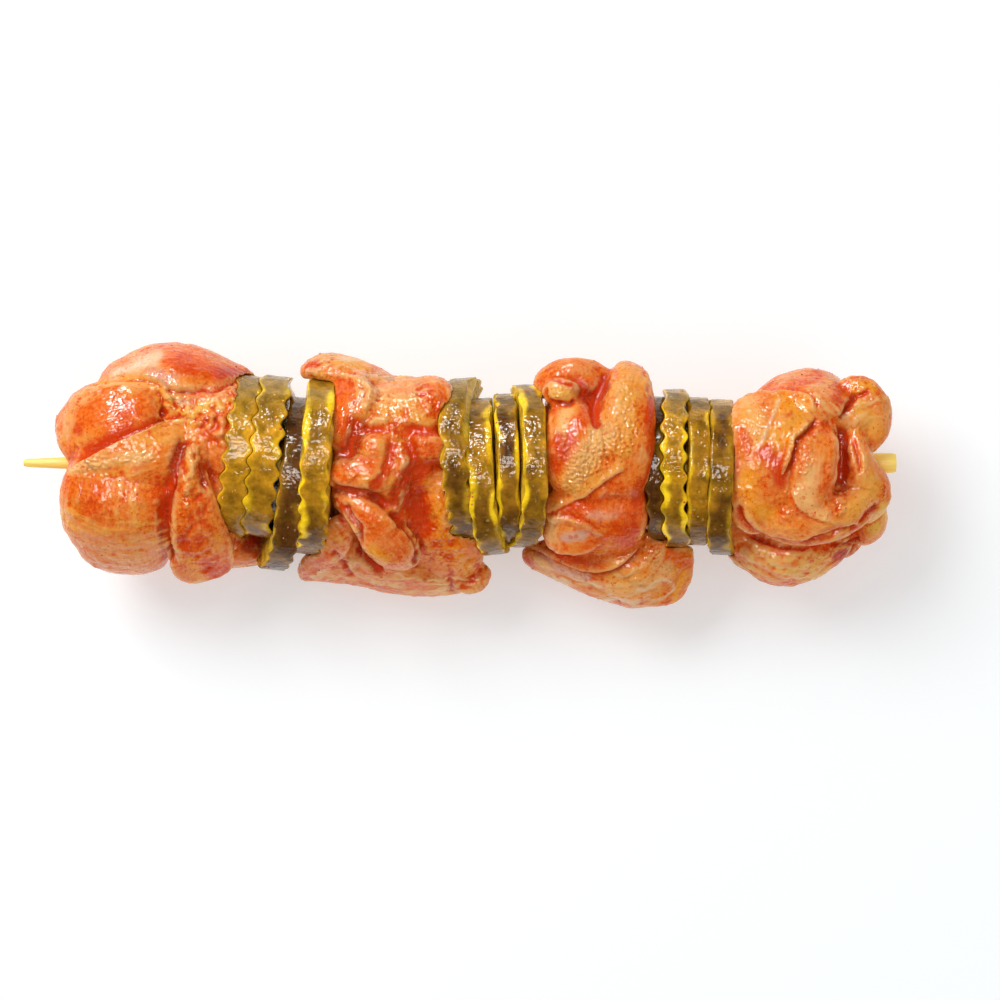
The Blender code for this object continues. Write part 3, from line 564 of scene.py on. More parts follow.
def mesh_from(name, points, faces):
    """A smooth mesh from points in millimetres in the skewer's frame."""
    mesh = bpy.data.meshes.new(name)
    places = np.asarray(points) * MM + np.array(MIDDLE)
    mesh.from_pydata(places.tolist(), [], faces)
    mesh.shade_smooth()
    mesh.update()
    return mesh


def mesh_from_bmesh(name, bm):
    bmesh.ops.recalc_face_normals(bm, faces=bm.faces)
    bmesh.ops.scale(bm, vec=(MM, MM, MM), verts=bm.verts)
    bmesh.ops.translate(bm, vec=MIDDLE, verts=bm.verts)
    mesh = bpy.data.meshes.new(name)
    bm.to_mesh(mesh)
    bm.free()
    return mesh


def points_of(mesh):
    """Points in millimetres in the skewer's frame."""
    points = np.empty(len(mesh.vertices) * 3)
    mesh.vertices.foreach_get("co", points)
    return (points.reshape(-1, 3) - np.array(MIDDLE)) / MM


def move_points(mesh, points):
    mesh.vertices.foreach_set("co", (points * MM + np.array(MIDDLE)).ravel())
    mesh.update()


def normals_of(mesh):
    normals = np.empty(len(mesh.vertices) * 3)
    mesh.vertex_normals.foreach_get("vector", normals)
    return normals.reshape(-1, 3)


def store_colours(mesh, name, colours):
    layer = mesh.color_attributes.new(name=name, type="FLOAT_COLOR", domain="POINT")
    rgba = np.ones((len(colours), 4))
    rgba[:, :3] = np.clip(colours, 0, 1)
    layer.data.foreach_set("color", rgba.ravel())


def store_values(mesh, name, values):
    layer = mesh.attributes.new(name=name, type="FLOAT", domain="POINT")
    layer.data.foreach_set("value", np.asarray(values, np.float32))


def store_places(mesh, name, places):
    """Places in millimetres for a noise texture to follow."""
    layer = mesh.attributes.new(name=name, type="FLOAT_VECTOR", domain="POINT")
    layer.data.foreach_set("vector", np.asarray(places * MM, np.float32).ravel())


def shaped(obj):
    """The mesh that an object's modifiers make. The object is used up."""
    graph = bpy.context.evaluated_depsgraph_get()
    mesh = bpy.data.meshes.new_from_object(obj.evaluated_get(graph), depsgraph=graph)
    bpy.data.objects.remove(obj, do_unlink=True)
    return mesh


def bridge(bm, rings):
    for ring, after in zip(rings, rings[1:]):
        count = len(ring)
        for i in range(count):
            j = (i + 1) % count
            bm.faces.new((ring[i], ring[j], after[j], after[i]))


def between(stations, u):
    """A smooth curve through the stations at u from 0 to 1."""
    spans = len(stations) - 1
    i = min(int(u * spans), spans - 1)
    t = u * spans - i
    near = [stations[max(i - 1, 0)], stations[i], stations[i + 1], stations[min(i + 2, spans)]]
    a, b, c, d = (Vector(s) for s in near)
    square, cube = 2 * a - 5 * b + 4 * c - d, 3 * b - a - 3 * c + d
    return 0.5 * (2 * b + (c - a) * t + square * t**2 + cube * t**3)


def lumps(points, size, seed=0):
    """Smooth noise from about -1 to 1 whose lumps are this many millimetres across."""
    shifted = (points / size + seed * 7.31).tolist()
    return np.fromiter((noise.noise(p) for p in shifted), float, len(shifted))


def smooth_step(value, low, high):
    t = np.clip((value - low) / (high - low), 0, 1)
    return t * t * (3 - 2 * t)


def blend_colour(colours, colour, share):
    return colours + (np.asarray(colour) - colours) * np.clip(share, 0, 1)[:, None]


# Materials


class Wires:
    """The nodes and links of a material or a node group, with shorthands that give sockets."""

    def __init__(self, tree):
        self.tree, self.nodes, self.links = tree, tree.nodes, tree.links

    def add(self, kind, **settings):
        node = self.nodes.new(f"ShaderNode{kind}")
        for setting, value in settings.items():
            setattr(node, setting, value)
        return node

    def plug(self, socket, value):
        """Links a socket to this one, or sets its value."""
        if isinstance(value, bpy.types.NodeSocket):
            self.links.new(value, socket)
        elif socket.type == "RGBA":
            socket.default_value = (*value, 1)
        else:
            socket.default_value = value

    def feed(self, node, **inputs):
        """Plugs a node's inputs by name, with an underscore for each space."""
        for name, value in inputs.items():
            self.plug(node.inputs[name.replace("_", " ")], value)
        return node

    def place(self, *stretch):
        """Where a point lies on the object, stretched along X, Y and Z."""
        where = self.add("TexCoord").outputs["Object"]
        if not stretch:
            return where
        return self.feed(self.add("Mapping"), Vector=where, Scale=stretch).outputs["Vector"]

    def attribute(self, name, output="Fac"):
        return self.add("Attribute", attribute_name=name).outputs[output]

    def noise(self, vector, size, detail=2.0, roughness=0.5, output="Fac"):
        """A noise texture whose lumps are about this size in millimetres."""
        settings = {"Scale": 1 / (size * MM), "Detail": detail, "Roughness": roughness}
        return self.feed(self.add("TexNoise"), Vector=vector, **settings).outputs[output]

    def math(self, operation, a, b, clamp=False):
        node = self.add("Math", operation=operation, use_clamp=clamp)
        self.plug(node.inputs[0], a)
        self.plug(node.inputs[1], b)
        return node.outputs[0]

    def remap(self, value, source, target):
        """Maps a value from the source range to the target range, clamped."""
        node = self.add("MapRange")
        ranges = zip(("From_Min", "From_Max", "To_Min", "To_Max"), (*source, *target))
        return self.feed(node, Value=value, **dict(ranges)).outputs["Result"]

    def mix(self, factor, a, b, mode="MIX"):
        """Mixes two colours, given as sockets or as plain colours."""
        node = self.feed(self.add("Mix", data_type="RGBA", blend_type=mode), Factor=factor)
        for socket, value in zip([s for s in node.inputs if s.type == "RGBA"], (a, b)):
            self.plug(socket, value)
        return [s for s in node.outputs if s.type == "RGBA"][0]

    def group(self, tree, **inputs):
        return self.feed(self.add("Group", node_tree=tree), **inputs).outputs

    def bump(self, shader, height, distance, strength=1.0):
        """Relief in the shader's normal, this many millimetres deep."""
        node = self.feed(self.add("Bump"), Height=height, Strength=strength, Distance=distance * MM)
        self.feed(shader, Normal=node.outputs["Normal"])


def new_material(name, base, roughness, **inputs):
    """A Principled material, its wires and its shader."""
    material = bpy.data.materials.new(name)
    material.use_nodes = True
    wires = Wires(material.node_tree)
    shader = wires.nodes["Principled BSDF"]
    wires.feed(shader, Base_Color=base, Roughness=roughness, **inputs)
    return material, wires, shader


def new_group(name, inputs, outputs):
    """An empty shader node group: its wires, and its input and output nodes."""
    tree = bpy.data.node_groups.new(name, "ShaderNodeTree")
    for socket, default in inputs.items():
        made = tree.interface.new_socket(name=socket, in_out="INPUT", socket_type="NodeSocketFloat")
        made.default_value = default
    for socket in outputs:
        tree.interface.new_socket(name=socket, in_out="OUTPUT", socket_type="NodeSocketFloat")
    return Wires(tree), tree.nodes.new("NodeGroupInput"), tree.nodes.new("NodeGroupOutput")


def speckle_group():
    """Spice dots: a mask of small round dots that come in drifts."""
    name = "Spice speckle"
    if name in bpy.data.node_groups:
        return bpy.data.node_groups[name]
    wires, given, result = new_group(name, {"Spacing": 1.6, "Dot": 0.2}, ["Dots"])
    where = wires.place()
    wobble = wires.noise(where, 0.9, output="Color")
    shifted = wires.add("VectorMath", operation="MULTIPLY_ADD")
    for socket, value in zip(shifted.inputs, (wobble, 3 * [DOT_WOBBLE], where)):
        wires.plug(socket, value)
    scale = wires.math("DIVIDE", 1 / MM, given.outputs["Spacing"])
    cells = wires.feed(wires.add("TexVoronoi"), Scale=scale, Vector=shifted.outputs[0])
    split = wires.feed(wires.add("SeparateColor"), Color=cells.outputs["Color"])
    size = wires.math("MULTIPLY", split.outputs[0], given.outputs["Dot"])
    inside = wires.math("SUBTRACT", size, cells.outputs["Distance"])
    dots = wires.math("MULTIPLY", inside, DOT_SHARPNESS, clamp=True)
    drift = wires.remap(wires.noise(where, 9.0), (0.42, 0.6), (0, 1))
    wires.feed(result, Dots=wires.math("MULTIPLY", dots, drift))
    return wires.tree


def wet_grain_group():
    """Soft grain of a wet surface, and a mottle for its colour."""
    name = "Wet grain"
    if name in bpy.data.node_groups:
        return bpy.data.node_groups[name]
    wires, given, result = new_group(name, {"Size": 0.9}, ["Height", "Mottle"])
    where = wires.place()
    scale = wires.math("DIVIDE", 1 / MM, given.outputs["Size"])
    grain = wires.feed(wires.add("TexNoise"), Detail=0, Scale=scale, Vector=where)
    wires.feed(result, Height=grain.outputs["Fac"], Mottle=wires.noise(where, 3.0, 4.0, 0.65))
    return wires.tree


def chicken_material(look):
    material, wires, shader = new_material(
        "marinated chicken",
        look.flesh,
        0.5,
        Subsurface_Weight=0.2,
        Subsurface_Radius=(1.0, 0.3, 0.1),
        Subsurface_Scale=1.0 * MM,
        Specular_IOR_Level=0.4,
        IOR=1.45,
    )
    tint, wet = wires.attribute("Tint", "Color"), wires.attribute("Wet")
    strand = wires.attribute("Strand", "Vector")
    grain = wires.group(wet_grain_group(), Size=0.8)["Height"]
    dots = wires.group(speckle_group(), Spacing=1.3, Dot=0.5)["Dots"]
    fine = wires.noise(wires.place(), 0.8, 4.0, 0.75)
    threads = wires.noise(strand, 0.45, 3.0, 0.6)
    ribs = wires.noise(strand, 0.75, 0.0)
    # Marinade: rubbed off in some specks and thick in others
    level = wires.remap(wires.attribute("Spice"), (0, 1), (-0.14, 0.15))
    dusted = wires.math("ADD", fine, level)
    rinsed = wires.mix(0.35, tint, look.bare)
    soaked = wires.mix(1.0, tint, (0.95, 0.62, 0.4), "MULTIPLY")
    thin = wires.mix(wires.remap(dusted, (0.46, 0.32), (0, 0.85)), tint, rinsed)
    threaded = wires.mix(wires.remap(threads, (0.5, 0.7), (0, 0.4)), thin, rinsed)
    streaked = wires.mix(wires.remap(threads, (0.5, 0.32), (0, 0.35)), threaded, soaked)
    thick = wires.mix(wires.remap(dusted, (0.53, 0.66), (0, 0.85)), streaked, look.red)
    spiced = wires.mix(wires.math("MULTIPLY", dots, 0.5), thick, look.red)
    film = wires.math("ADD", wet, wires.remap(fine, (0.3, 0.7), (-0.35, 0.35)))
    wires.feed(shader, Base_Color=spiced, Roughness=wires.remap(film, (0, 0.9), (0.2, 0.08)))
    # Wet places are choppier, which breaks their glints up
    height = wires.math("MULTIPLY", grain, wires.remap(wet, (0, 2), (0.3, 2.9)))
    ribbed = wires.math("MULTIPLY", ribs, wires.remap(wet, (0, 2), (0.25, 0.8)))
    wires.bump(shader, wires.math("ADD", height, ribbed), 0.3)
    return material


def pickle_material(look):
    material, wires, shader = new_material(
        "crinkle-cut pickle",
        look.light,
        0.3,
        Subsurface_Weight=0.35,
        Subsurface_Radius=(1.0, 0.7, 0.15),
        Subsurface_Scale=1.8 * MM,
        Specular_IOR_Level=0.35,
        IOR=1.45,
    )
    wet = wires.attribute("Wet")
    grain = wires.group(wet_grain_group(), Size=0.8)
    dots = wires.group(speckle_group(), Spacing=1.7, Dot=0.3)["Dots"]
    shade = wires.remap(grain["Mottle"], (0.32, 0.68), (0.55, 1.5))
    grey = wires.feed(wires.add("CombineColor"), Red=shade, Green=shade, Blue=shade)
    mottled = wires.mix(1.0, wires.attribute("Tint", "Color"), grey.outputs[0], "MULTIPLY")
    dotted = wires.mix(wires.math("MULTIPLY", dots, 0.6), mottled, (0.55, 0.40, 0.12))
    film = wires.math("ADD", wet, wires.remap(grain["Height"], (0.3, 0.7), (-0.3, 0.3)))
    wires.feed(shader, Base_Color=dotted, Roughness=wires.remap(film, (0, 0.8), (0.17, 0.09)))
    # Light that comes through the flesh at the edges
    lit = wires.attribute("Lit", "Color")
    wires.feed(shader, Emission_Color=lit, Emission_Strength=look.glow)
    # Fine lines across the rim, over the grain
    lines = wires.math("MULTIPLY", wires.noise(wires.place(0.12, 1, 1), 0.7, 0.0), 0.5)
    choppy = wires.remap(wet, (0, 1), (0.7, 2.4))
    stipple = wires.math("MULTIPLY", grain["Height"], choppy)
    wires.bump(shader, wires.math("ADD", stipple, lines), 0.14)
    return material


def bamboo_material(look):
    # The emission is painted light: it brightens the whole stick, which is no lamp.
    glow = {"Emission_Color": look.light, "Emission_Strength": look.glow}
    material, wires, shader = new_material("bamboo", look.light, 0.5, IOR=1.5, **glow)
    strands = wires.noise(wires.place(0.03, 1, 1), 0.35, 3.0, 0.6)
    share = wires.remap(strands, (0.45, 0.7), (0, 1))
    wires.feed(shader, Base_Color=wires.mix(share, look.light, look.dark))
    wires.bump(shader, strands, 0.12, 0.6)
    return material


# The pickle slices


def slice_frame(spec):
    """A slice's place and turn, and a shift that lines its ripples up with its neighbours'."""
    middle = Vector((spec.x, spec.y, spec.z))
    turn, ridges = math.radians(spec.turn), math.radians(spec.ridges)
    rows = Matrix.Rotation(turn, 4, "Z") @ Matrix.Rotation(ridges, 4, "X")
    return Matrix.Translation(middle) @ rows, (rows.inverted() @ middle).y


def bend_of(spec, s, z):
    """How far a point of the slice's plane is bent along X."""
    ridges = math.radians(spec.ridges)
    return spec.bend * ((s * math.sin(ridges) + z * math.cos(ridges)) / spec.along) ** 2


def cut_faces(stack, number, extra=0.0):
    """Where a slice's cut faces lie once they press out until they touch what is next to them."""
    spec = stack[number]
    growth = []
    for other in (number - 1, number + 1):
        if not 0 <= other < len(stack):
            growth.append(PRESS)
            continue
        beside = stack[other]
        room = abs(spec.x - beside.x) - (spec.thickness + beside.thickness) / 2 - TOUCH
        growth.append(max(room / 2, 0))
    half = spec.thickness / 2 + extra
    return -half - growth[0], half + growth[1]


def curl_of(spec, places):
    """How far a slice's soft low half leans along the skewer at its two ends."""
    _, y, z = places.T
    near = spec.curl_near * smooth_step(-y, 10, 21)
    far = spec.curl_far * smooth_step(y, 10, 19)
    return (near + far) * np.clip((12 - z) / 24, 0, 1)


def rim_outline(spec, extra):
    """The rim in the slice's own plane, a point for each step round it."""
    across, along = spec.across + extra, spec.along + extra
    angle = 2 * np.pi * np.arange(RIM_STEPS) / RIM_STEPS
    s, z = np.cos(angle), np.sin(angle)
    top = 1 + RIM_UNEVENNESS * np.sin(5 * s + across)
    low = 1 + RIM_UNEVENNESS * np.sin(4 * s + 2 * along)
    share = smooth_step(z, -0.1, 0.1)
    grown = low + (top - low) * share
    return np.stack([across * s, along * z * grown], axis=1)


def slice_profile(low, high, edge_radius):
    """From the hole along one cut face, over the rim and back: share of the way out to the rim,
    inset from it, and place through the thickness."""
    middle, half = (low + high) / 2, (high - low) / 2
    outward = [(k / FACE_STEPS) ** 0.7 for k in range(FACE_STEPS)]
    rows = [(share, 0, low) for share in outward]
    for k in range(RIM_ROWS):
        x = -math.cos(math.pi * k / (RIM_ROWS - 1)) * half
        past = max(abs(x) - (half - edge_radius), 0) / edge_radius
        inset = edge_radius * (1 - math.sqrt(max(1 - past * past, 0)))
        rows.append((1, inset, middle + x))
    return rows + [(share, 0, high) for share in reversed(outward)]


def ring_faces(rings, steps):
    """Four-sided faces between rings of points, the last ring joined to the first."""
    faces = []
    for ring in range(rings):
        here, there = ring * steps, (ring + 1) % rings * steps
        for k in range(steps):
            j = (k + 1) % steps
            faces.append((here + k, here + j, there + j, there + k))
    return faces


def slice_grid(spec, faces_at, hole_radius, look, extra=0.0):
    """Points of a crinkle-cut slice row by row, its faces, and the rows they come from."""
    place, offset = slice_frame(spec)
    outline = rim_outline(spec, extra)
    hole = place.inverted() @ Vector((spec.x, 0, 0))
    hole = np.array((hole.y, hole.z))
    reach = outline - hole
    direction = reach / np.linalg.norm(reach, axis=1, keepdims=True)
    inner = hole + direction * hole_radius
    profile = slice_profile(*faces_at, look.edge_radius / MM)
    points = []
    for share, inset, x in profile:
        plane = inner + (outline - direction * inset - inner) * share
        uneven = 1 + 0.4 * lumps(np.column_stack([plane, plane[:, 0] * 0]), 6, 9)
        wave = np.sin(2 * np.pi * (plane[:, 0] + offset) / RIDGE_PITCH)
        ripple = spec.ripple * look.ripple_gain * wave * uneven
        bent = x + ripple + bend_of(spec, *plane.T)
        placed = np.column_stack([bent, plane]) @ np.array(place.to_3x3()).T
        placed += np.array(place.translation)
        placed[:, 0] += curl_of(spec, placed)
        points.append(placed)
    return np.concatenate(points), ring_faces(len(profile), RIM_STEPS), profile


def with_outward_faces(mesh):
    bm = bmesh.new()
    bm.from_mesh(mesh)
    bmesh.ops.recalc_face_normals(bm, faces=bm.faces)
    bm.to_mesh(mesh)
    bm.free()
    mesh.shade_smooth()
    return mesh


def pickle_slice(name, stack, number, look):
    """A crinkle-cut slice with its skin, lit edges and cut faces."""
    spec = stack[number]
    half = spec.thickness / 2
    faces_at = cut_faces(stack, number)
    points, faces, profile = slice_grid(spec, faces_at, SKEWER_DIAMETER / 2 + 2 * GAP, look)
    share, inset, place = np.repeat(np.array(profile), RIM_STEPS, axis=0).T
    on_rim = np.where(share == 1, 1.0, 0.0)
    skin = np.where(inset < SKIN_INSET, on_rim, 0.0)
    signed_place = place - sum(faces_at) / 2
    mesh = with_outward_faces(mesh_from(name, points, faces))
    normals = normals_of(mesh)
    seed = spec.x
    warts = lumps(points, 2.2, seed) * 0.14 + lumps(points, 0.9, seed + 1) * 0.06
    uneven = lumps(points, 7, seed + 2) * 0.2
    move_points(mesh, points + normals * ((warts + uneven) * (0.2 + 0.8 * skin))[:, None])

    # The skin's colour is partly painted light and shade: lighter towards the cut faces, where
    # light comes through the thin flesh, and darker towards the near, low side, which lies in
    # shade. The far side's skin is greener.
    off_middle = np.abs(signed_place) / (half + PRESS)
    tone = spec.tone + 0.45 * lumps(points, 9, seed + 3) + 0.3 * lumps(points, 3, seed + 4)
    tone = np.clip(tone + 0.25 * (off_middle - 0.5), 0, 1)
    far, near = smooth_step(points[:, 1], 8, 17), smooth_step(-points[:, 1], 2, 18)
    skin_colour = blend_colour(np.array(look.dark), look.light, tone)
    skin_colour = blend_colour(skin_colour, look.green, far * 0.65)
    skin_colour = blend_colour(skin_colour, look.dark, near * 0.6)
    colours = blend_colour(np.array(look.flesh), skin_colour, skin)
    # Edges where light comes through the flesh, each with its own width along the rim
    side = np.where(signed_place > 0, 1.0, -1.0)
    around = points * (0, 1, 1) + np.outer(side, (40 + seed, 0, 0))
    spread = smooth_step(lumps(around, 6, 71), 0.1, 0.6)
    for x, y, reach in LIT_SPOTS:
        away = np.hypot((points[:, 0] - x) / LIT_SPOT_WIDTH, (points[:, 1] - y) / reach)
        spread = np.maximum(spread, 1 - smooth_step(away, 0.3, 1.0))
    width = 0.3 + 2.0 * spread
    depth = half + PRESS - np.abs(signed_place)
    lit = 0.3 + 0.7 * smooth_step(lumps(around, 4, 72), -0.3, 0.3)
    lit = np.maximum(np.where(signed_place > 0, 0.35, 1) * lit, spread)
    glow = (1 - smooth_step(depth, 0.35 * width, width)) * lit * spec.lit * on_rim
    upper = smooth_step(points[:, 2], -2, 6)
    store_colours(mesh, "Lit", np.array(look.edge) * (glow * upper)[:, None])
    store_colours(mesh, "Tint", blend_colour(colours, look.edge, glow))
    yellow = min(max(4 * spec.tone, 0), 1)
    wet = 0.35 * yellow * smooth_step(lumps(points, 5, seed + 6), 0.1, 0.5)
    for x, y, radius in WET_SPOTS:
        away = np.hypot(points[:, 0] - x, points[:, 1] - y) / radius + 0.4 * lumps(points, 2, 73)
        wet = np.maximum(wet, 1 - smooth_step(away, 0.6, 1.1))
    store_values(mesh, "Wet", wet)
    return mesh


def slice_room(stack, number, look):
    """The room that one slice presses into the meat, as a cutter."""
    faces_at = cut_faces(stack, number, TOUCH)
    clearance = TOUCH + ROOM_CLEARANCE
    points, faces, _ = slice_grid(stack[number], faces_at, NO_HOLE, look, clearance)
    return with_outward_faces(mesh_from("room", points, faces))


# The meat


def power(value, exponent):
    return math.copysign(abs(value) ** exponent, value)


def add_fold(bm, facing, stations):
    """One tongue of meat: a thick strip along its stations, blunt at both ends."""
    rings = []
    ends = []
    for i in range(FOLD_RINGS + 1):
        u = (1 - math.cos(math.pi * i / FOLD_RINGS)) / 2
        here = between(stations, u)
        centre = Vector(here[:3])
        before, after = between(stations, max(u - NUDGE, 0)), between(stations, min(u + NUDGE, 1))
        ahead = (Vector(after[:3]) - Vector(before[:3])).normalized()
        side = ahead.cross(facing).normalized()
        up = side.cross(ahead)
        if i in (0, FOLD_RINGS):
            ends.append(bm.verts.new(centre))
            continue
        fullness = (1 - abs(2 * u - 1) ** END_BLUNTNESS) ** (1 / END_BLUNTNESS)
        ring = []
        for k in range(FOLD_SIDES):
            a = 2 * math.pi * k / FOLD_SIDES
            across = power(math.cos(a), FOLD_SQUARENESS) * here[3] / 2 * fullness
            through = power(math.sin(a), FOLD_SQUARENESS) * here[4] / 2 * fullness
            ring.append(bm.verts.new(centre + side * across + up * through))
        rings.append(ring)
    bridge(bm, rings)
    for end, ring in zip(ends, (rings[0], rings[-1])):
        for k in range(FOLD_SIDES):
            bm.faces.new((end, ring[k], ring[(k + 1) % FOLD_SIDES]))


def floor_room():
    """What lies under the floor, as a cutter."""
    bm = bmesh.new()
    bmesh.ops.create_cube(bm, size=1)
    height = MIDDLE.z / MM
    bmesh.ops.scale(bm, vec=(2 * SKEWER_LENGTH, SKEWER_LENGTH, height), verts=bm.verts)
    bmesh.ops.translate(bm, vec=(0, 0, -1.5 * height), verts=bm.verts)
    return mesh_from_bmesh("under_floor", bm)


def skewer_bore():
    """The skewer with clearance round it, as a cutter."""
    bm = bmesh.new()
    half = SKEWER_LENGTH / 2
    profile = [
        (-half - BORE_PAST_END, TIP_DIAMETER / 2),
        (-half, TIP_DIAMETER / 2),
        (-half + TAPER_LENGTH, SKEWER_DIAMETER / 2),
        (half + BORE_PAST_END, SKEWER_DIAMETER / 2),
    ]
    rings = []
    for x, radius in profile:
        angles = [2 * math.pi * k / BORE_SIDES for k in range(BORE_SIDES)]
        ring = [(x, (radius + GAP) * math.cos(a), (radius + GAP) * math.sin(a)) for a in angles]
        rings.append([bm.verts.new(corner) for corner in ring])
    bridge(bm, rings)
    bm.faces.new(rings[0])
    bm.faces.new(rings[-1])
    return mesh_from_bmesh("skewer_bore", bm)


def remeshed(obj, size, steps):
    """Adds an even mesh of this face size in metres, smoothed."""
    fuse = obj.modifiers.new("even_faces", "REMESH")
    fuse.mode = "VOXEL"
    fuse.voxel_size = size
    soften = obj.modifiers.new("soften", "SMOOTH")
    soften.factor = 0.5
    soften.iterations = steps


def folded_meat(name, cutters, face_size):
    """The folds fused into one mass, with room for its neighbours."""
    bm = bmesh.new()
    for facing, stations in folds_of(name):
        add_fold(bm, facing, stations)
    obj = add_mesh_object(name, mesh_from_bmesh(name, bm))
    remeshed(obj, FUSING_SIZE, 5)
    for cutter in cutters:
        cut = obj.modifiers.new(cutter.name, "BOOLEAN")
        cut.operation = "DIFFERENCE"
        cut.solver = "MANIFOLD"
        cut.object = cutter
    remeshed(obj, face_size, 3)
    return shaped(obj)


def relaxed(values, edges, steps):
    """Each point's value averaged with its neighbours', over and over."""
    count = len(values)
    ends = np.concatenate([edges[:, 0], edges[:, 1]])
    others = np.concatenate([edges[:, 1], edges[:, 0]])
    neighbours = np.maximum(np.bincount(ends, minlength=count), 1)
    columns = values.reshape(count, -1).copy()
    for _ in range(steps):
        for c in range(columns.shape[1]):
            total = np.bincount(ends, weights=columns[others, c], minlength=count)
            columns[:, c] = 0.5 * columns[:, c] + 0.5 * total / neighbours
    return columns.reshape(values.shape)


def seen_from_above(points, normals, edges):
    """1 where nothing lies above a point, 0 where it is covered or faces down."""
    cell = np.floor(points[:, :2] / SHADOW_CELL).astype(int)
    cell -= cell.min(axis=0)
    tops = np.full(cell.max(axis=0) + 1, -FAR_OFF)
    np.maximum.at(tops, (cell[:, 0], cell[:, 1]), points[:, 2])
    below = tops[cell[:, 0], cell[:, 1]] - points[:, 2]
    seen = (1 - smooth_step(below, *COVERED_BY)) * smooth_step(normals[:, 2], -0.05, 0.2)
    return relaxed(seen, edges, 3)


def along_folds(name, points):
    """For each point, how far it lies along, across and through the fold that it is on."""
    best = np.full(len(points), FAR_OFF)
    found = np.zeros((len(points), 3))
    for number, (facing, stations) in enumerate(folds_of(name)):
        path = [between(stations, k / FOLD_SPANS) for k in range(FOLD_SPANS + 1)]
        travel = 25.0 * number
        for here, after in zip(path, path[1:]):
            span = Vector(after[:3]) - Vector(here[:3])
            ahead = span.normalized()
            side = ahead.cross(facing).normalized()
            up = side.cross(ahead)
            axes = np.array((ahead, side, up))
            away = (points - np.array(here[:3])) @ axes.T
            past = away[:, 0] - np.clip(away[:, 0], 0, span.length)
            beside = np.hypot(2 * away[:, 1] / here[3], 2 * away[:, 2] / here[4])
            outside = np.hypot(beside, past / 4)
            closer = outside < best
            best = np.where(closer, outside, best)
            away[:, 0] += travel
            found[closer] = away[closer]
            travel += span.length
    return found


def stroke_line(route):
    """Points about every half millimetre along a stroke."""
    if len(route) == 1:
        return np.array(route + route, float) + np.array([[0, 0], [0.01, 0]])
    reach = sum(math.dist(a, b) for a, b in zip(route, route[1:]))
    count = max(int(reach / 0.5), 2)
    flat = [(x, y, 0) for x, y in route]
    return np.array([between(flat, k / count)[:2] for k in range(count + 1)])


def across_and_along(points, line):
    """For each point: signed distance to a line, left of it positive, and how far along."""
    starts, ends = line[:-1], line[1:]
    spans = ends - starts
    lengths = np.linalg.norm(spans, axis=1)
    before = np.concatenate([[0], np.cumsum(lengths)[:-1]])
    best = np.full(len(points), FAR_OFF)
    signed = np.zeros(len(points))
    travel = np.zeros(len(points))
    for start, span, size, passed in zip(starts, spans, lengths, before):
        away = points - start
        t = np.clip(away @ span / size**2, 0, 1)
        gap = away - t[:, None] * span
        distance = np.linalg.norm(gap, axis=1)
        closer = distance < best
        side = np.where(span[0] * away[:, 1] - span[1] * away[:, 0] >= 0, 1.0, -1.0)
        best = np.where(closer, distance, best)
        signed = np.where(closer, distance * side, signed)
        travel = np.where(closer, passed + t * size, travel)
    return signed, travel, lengths.sum()


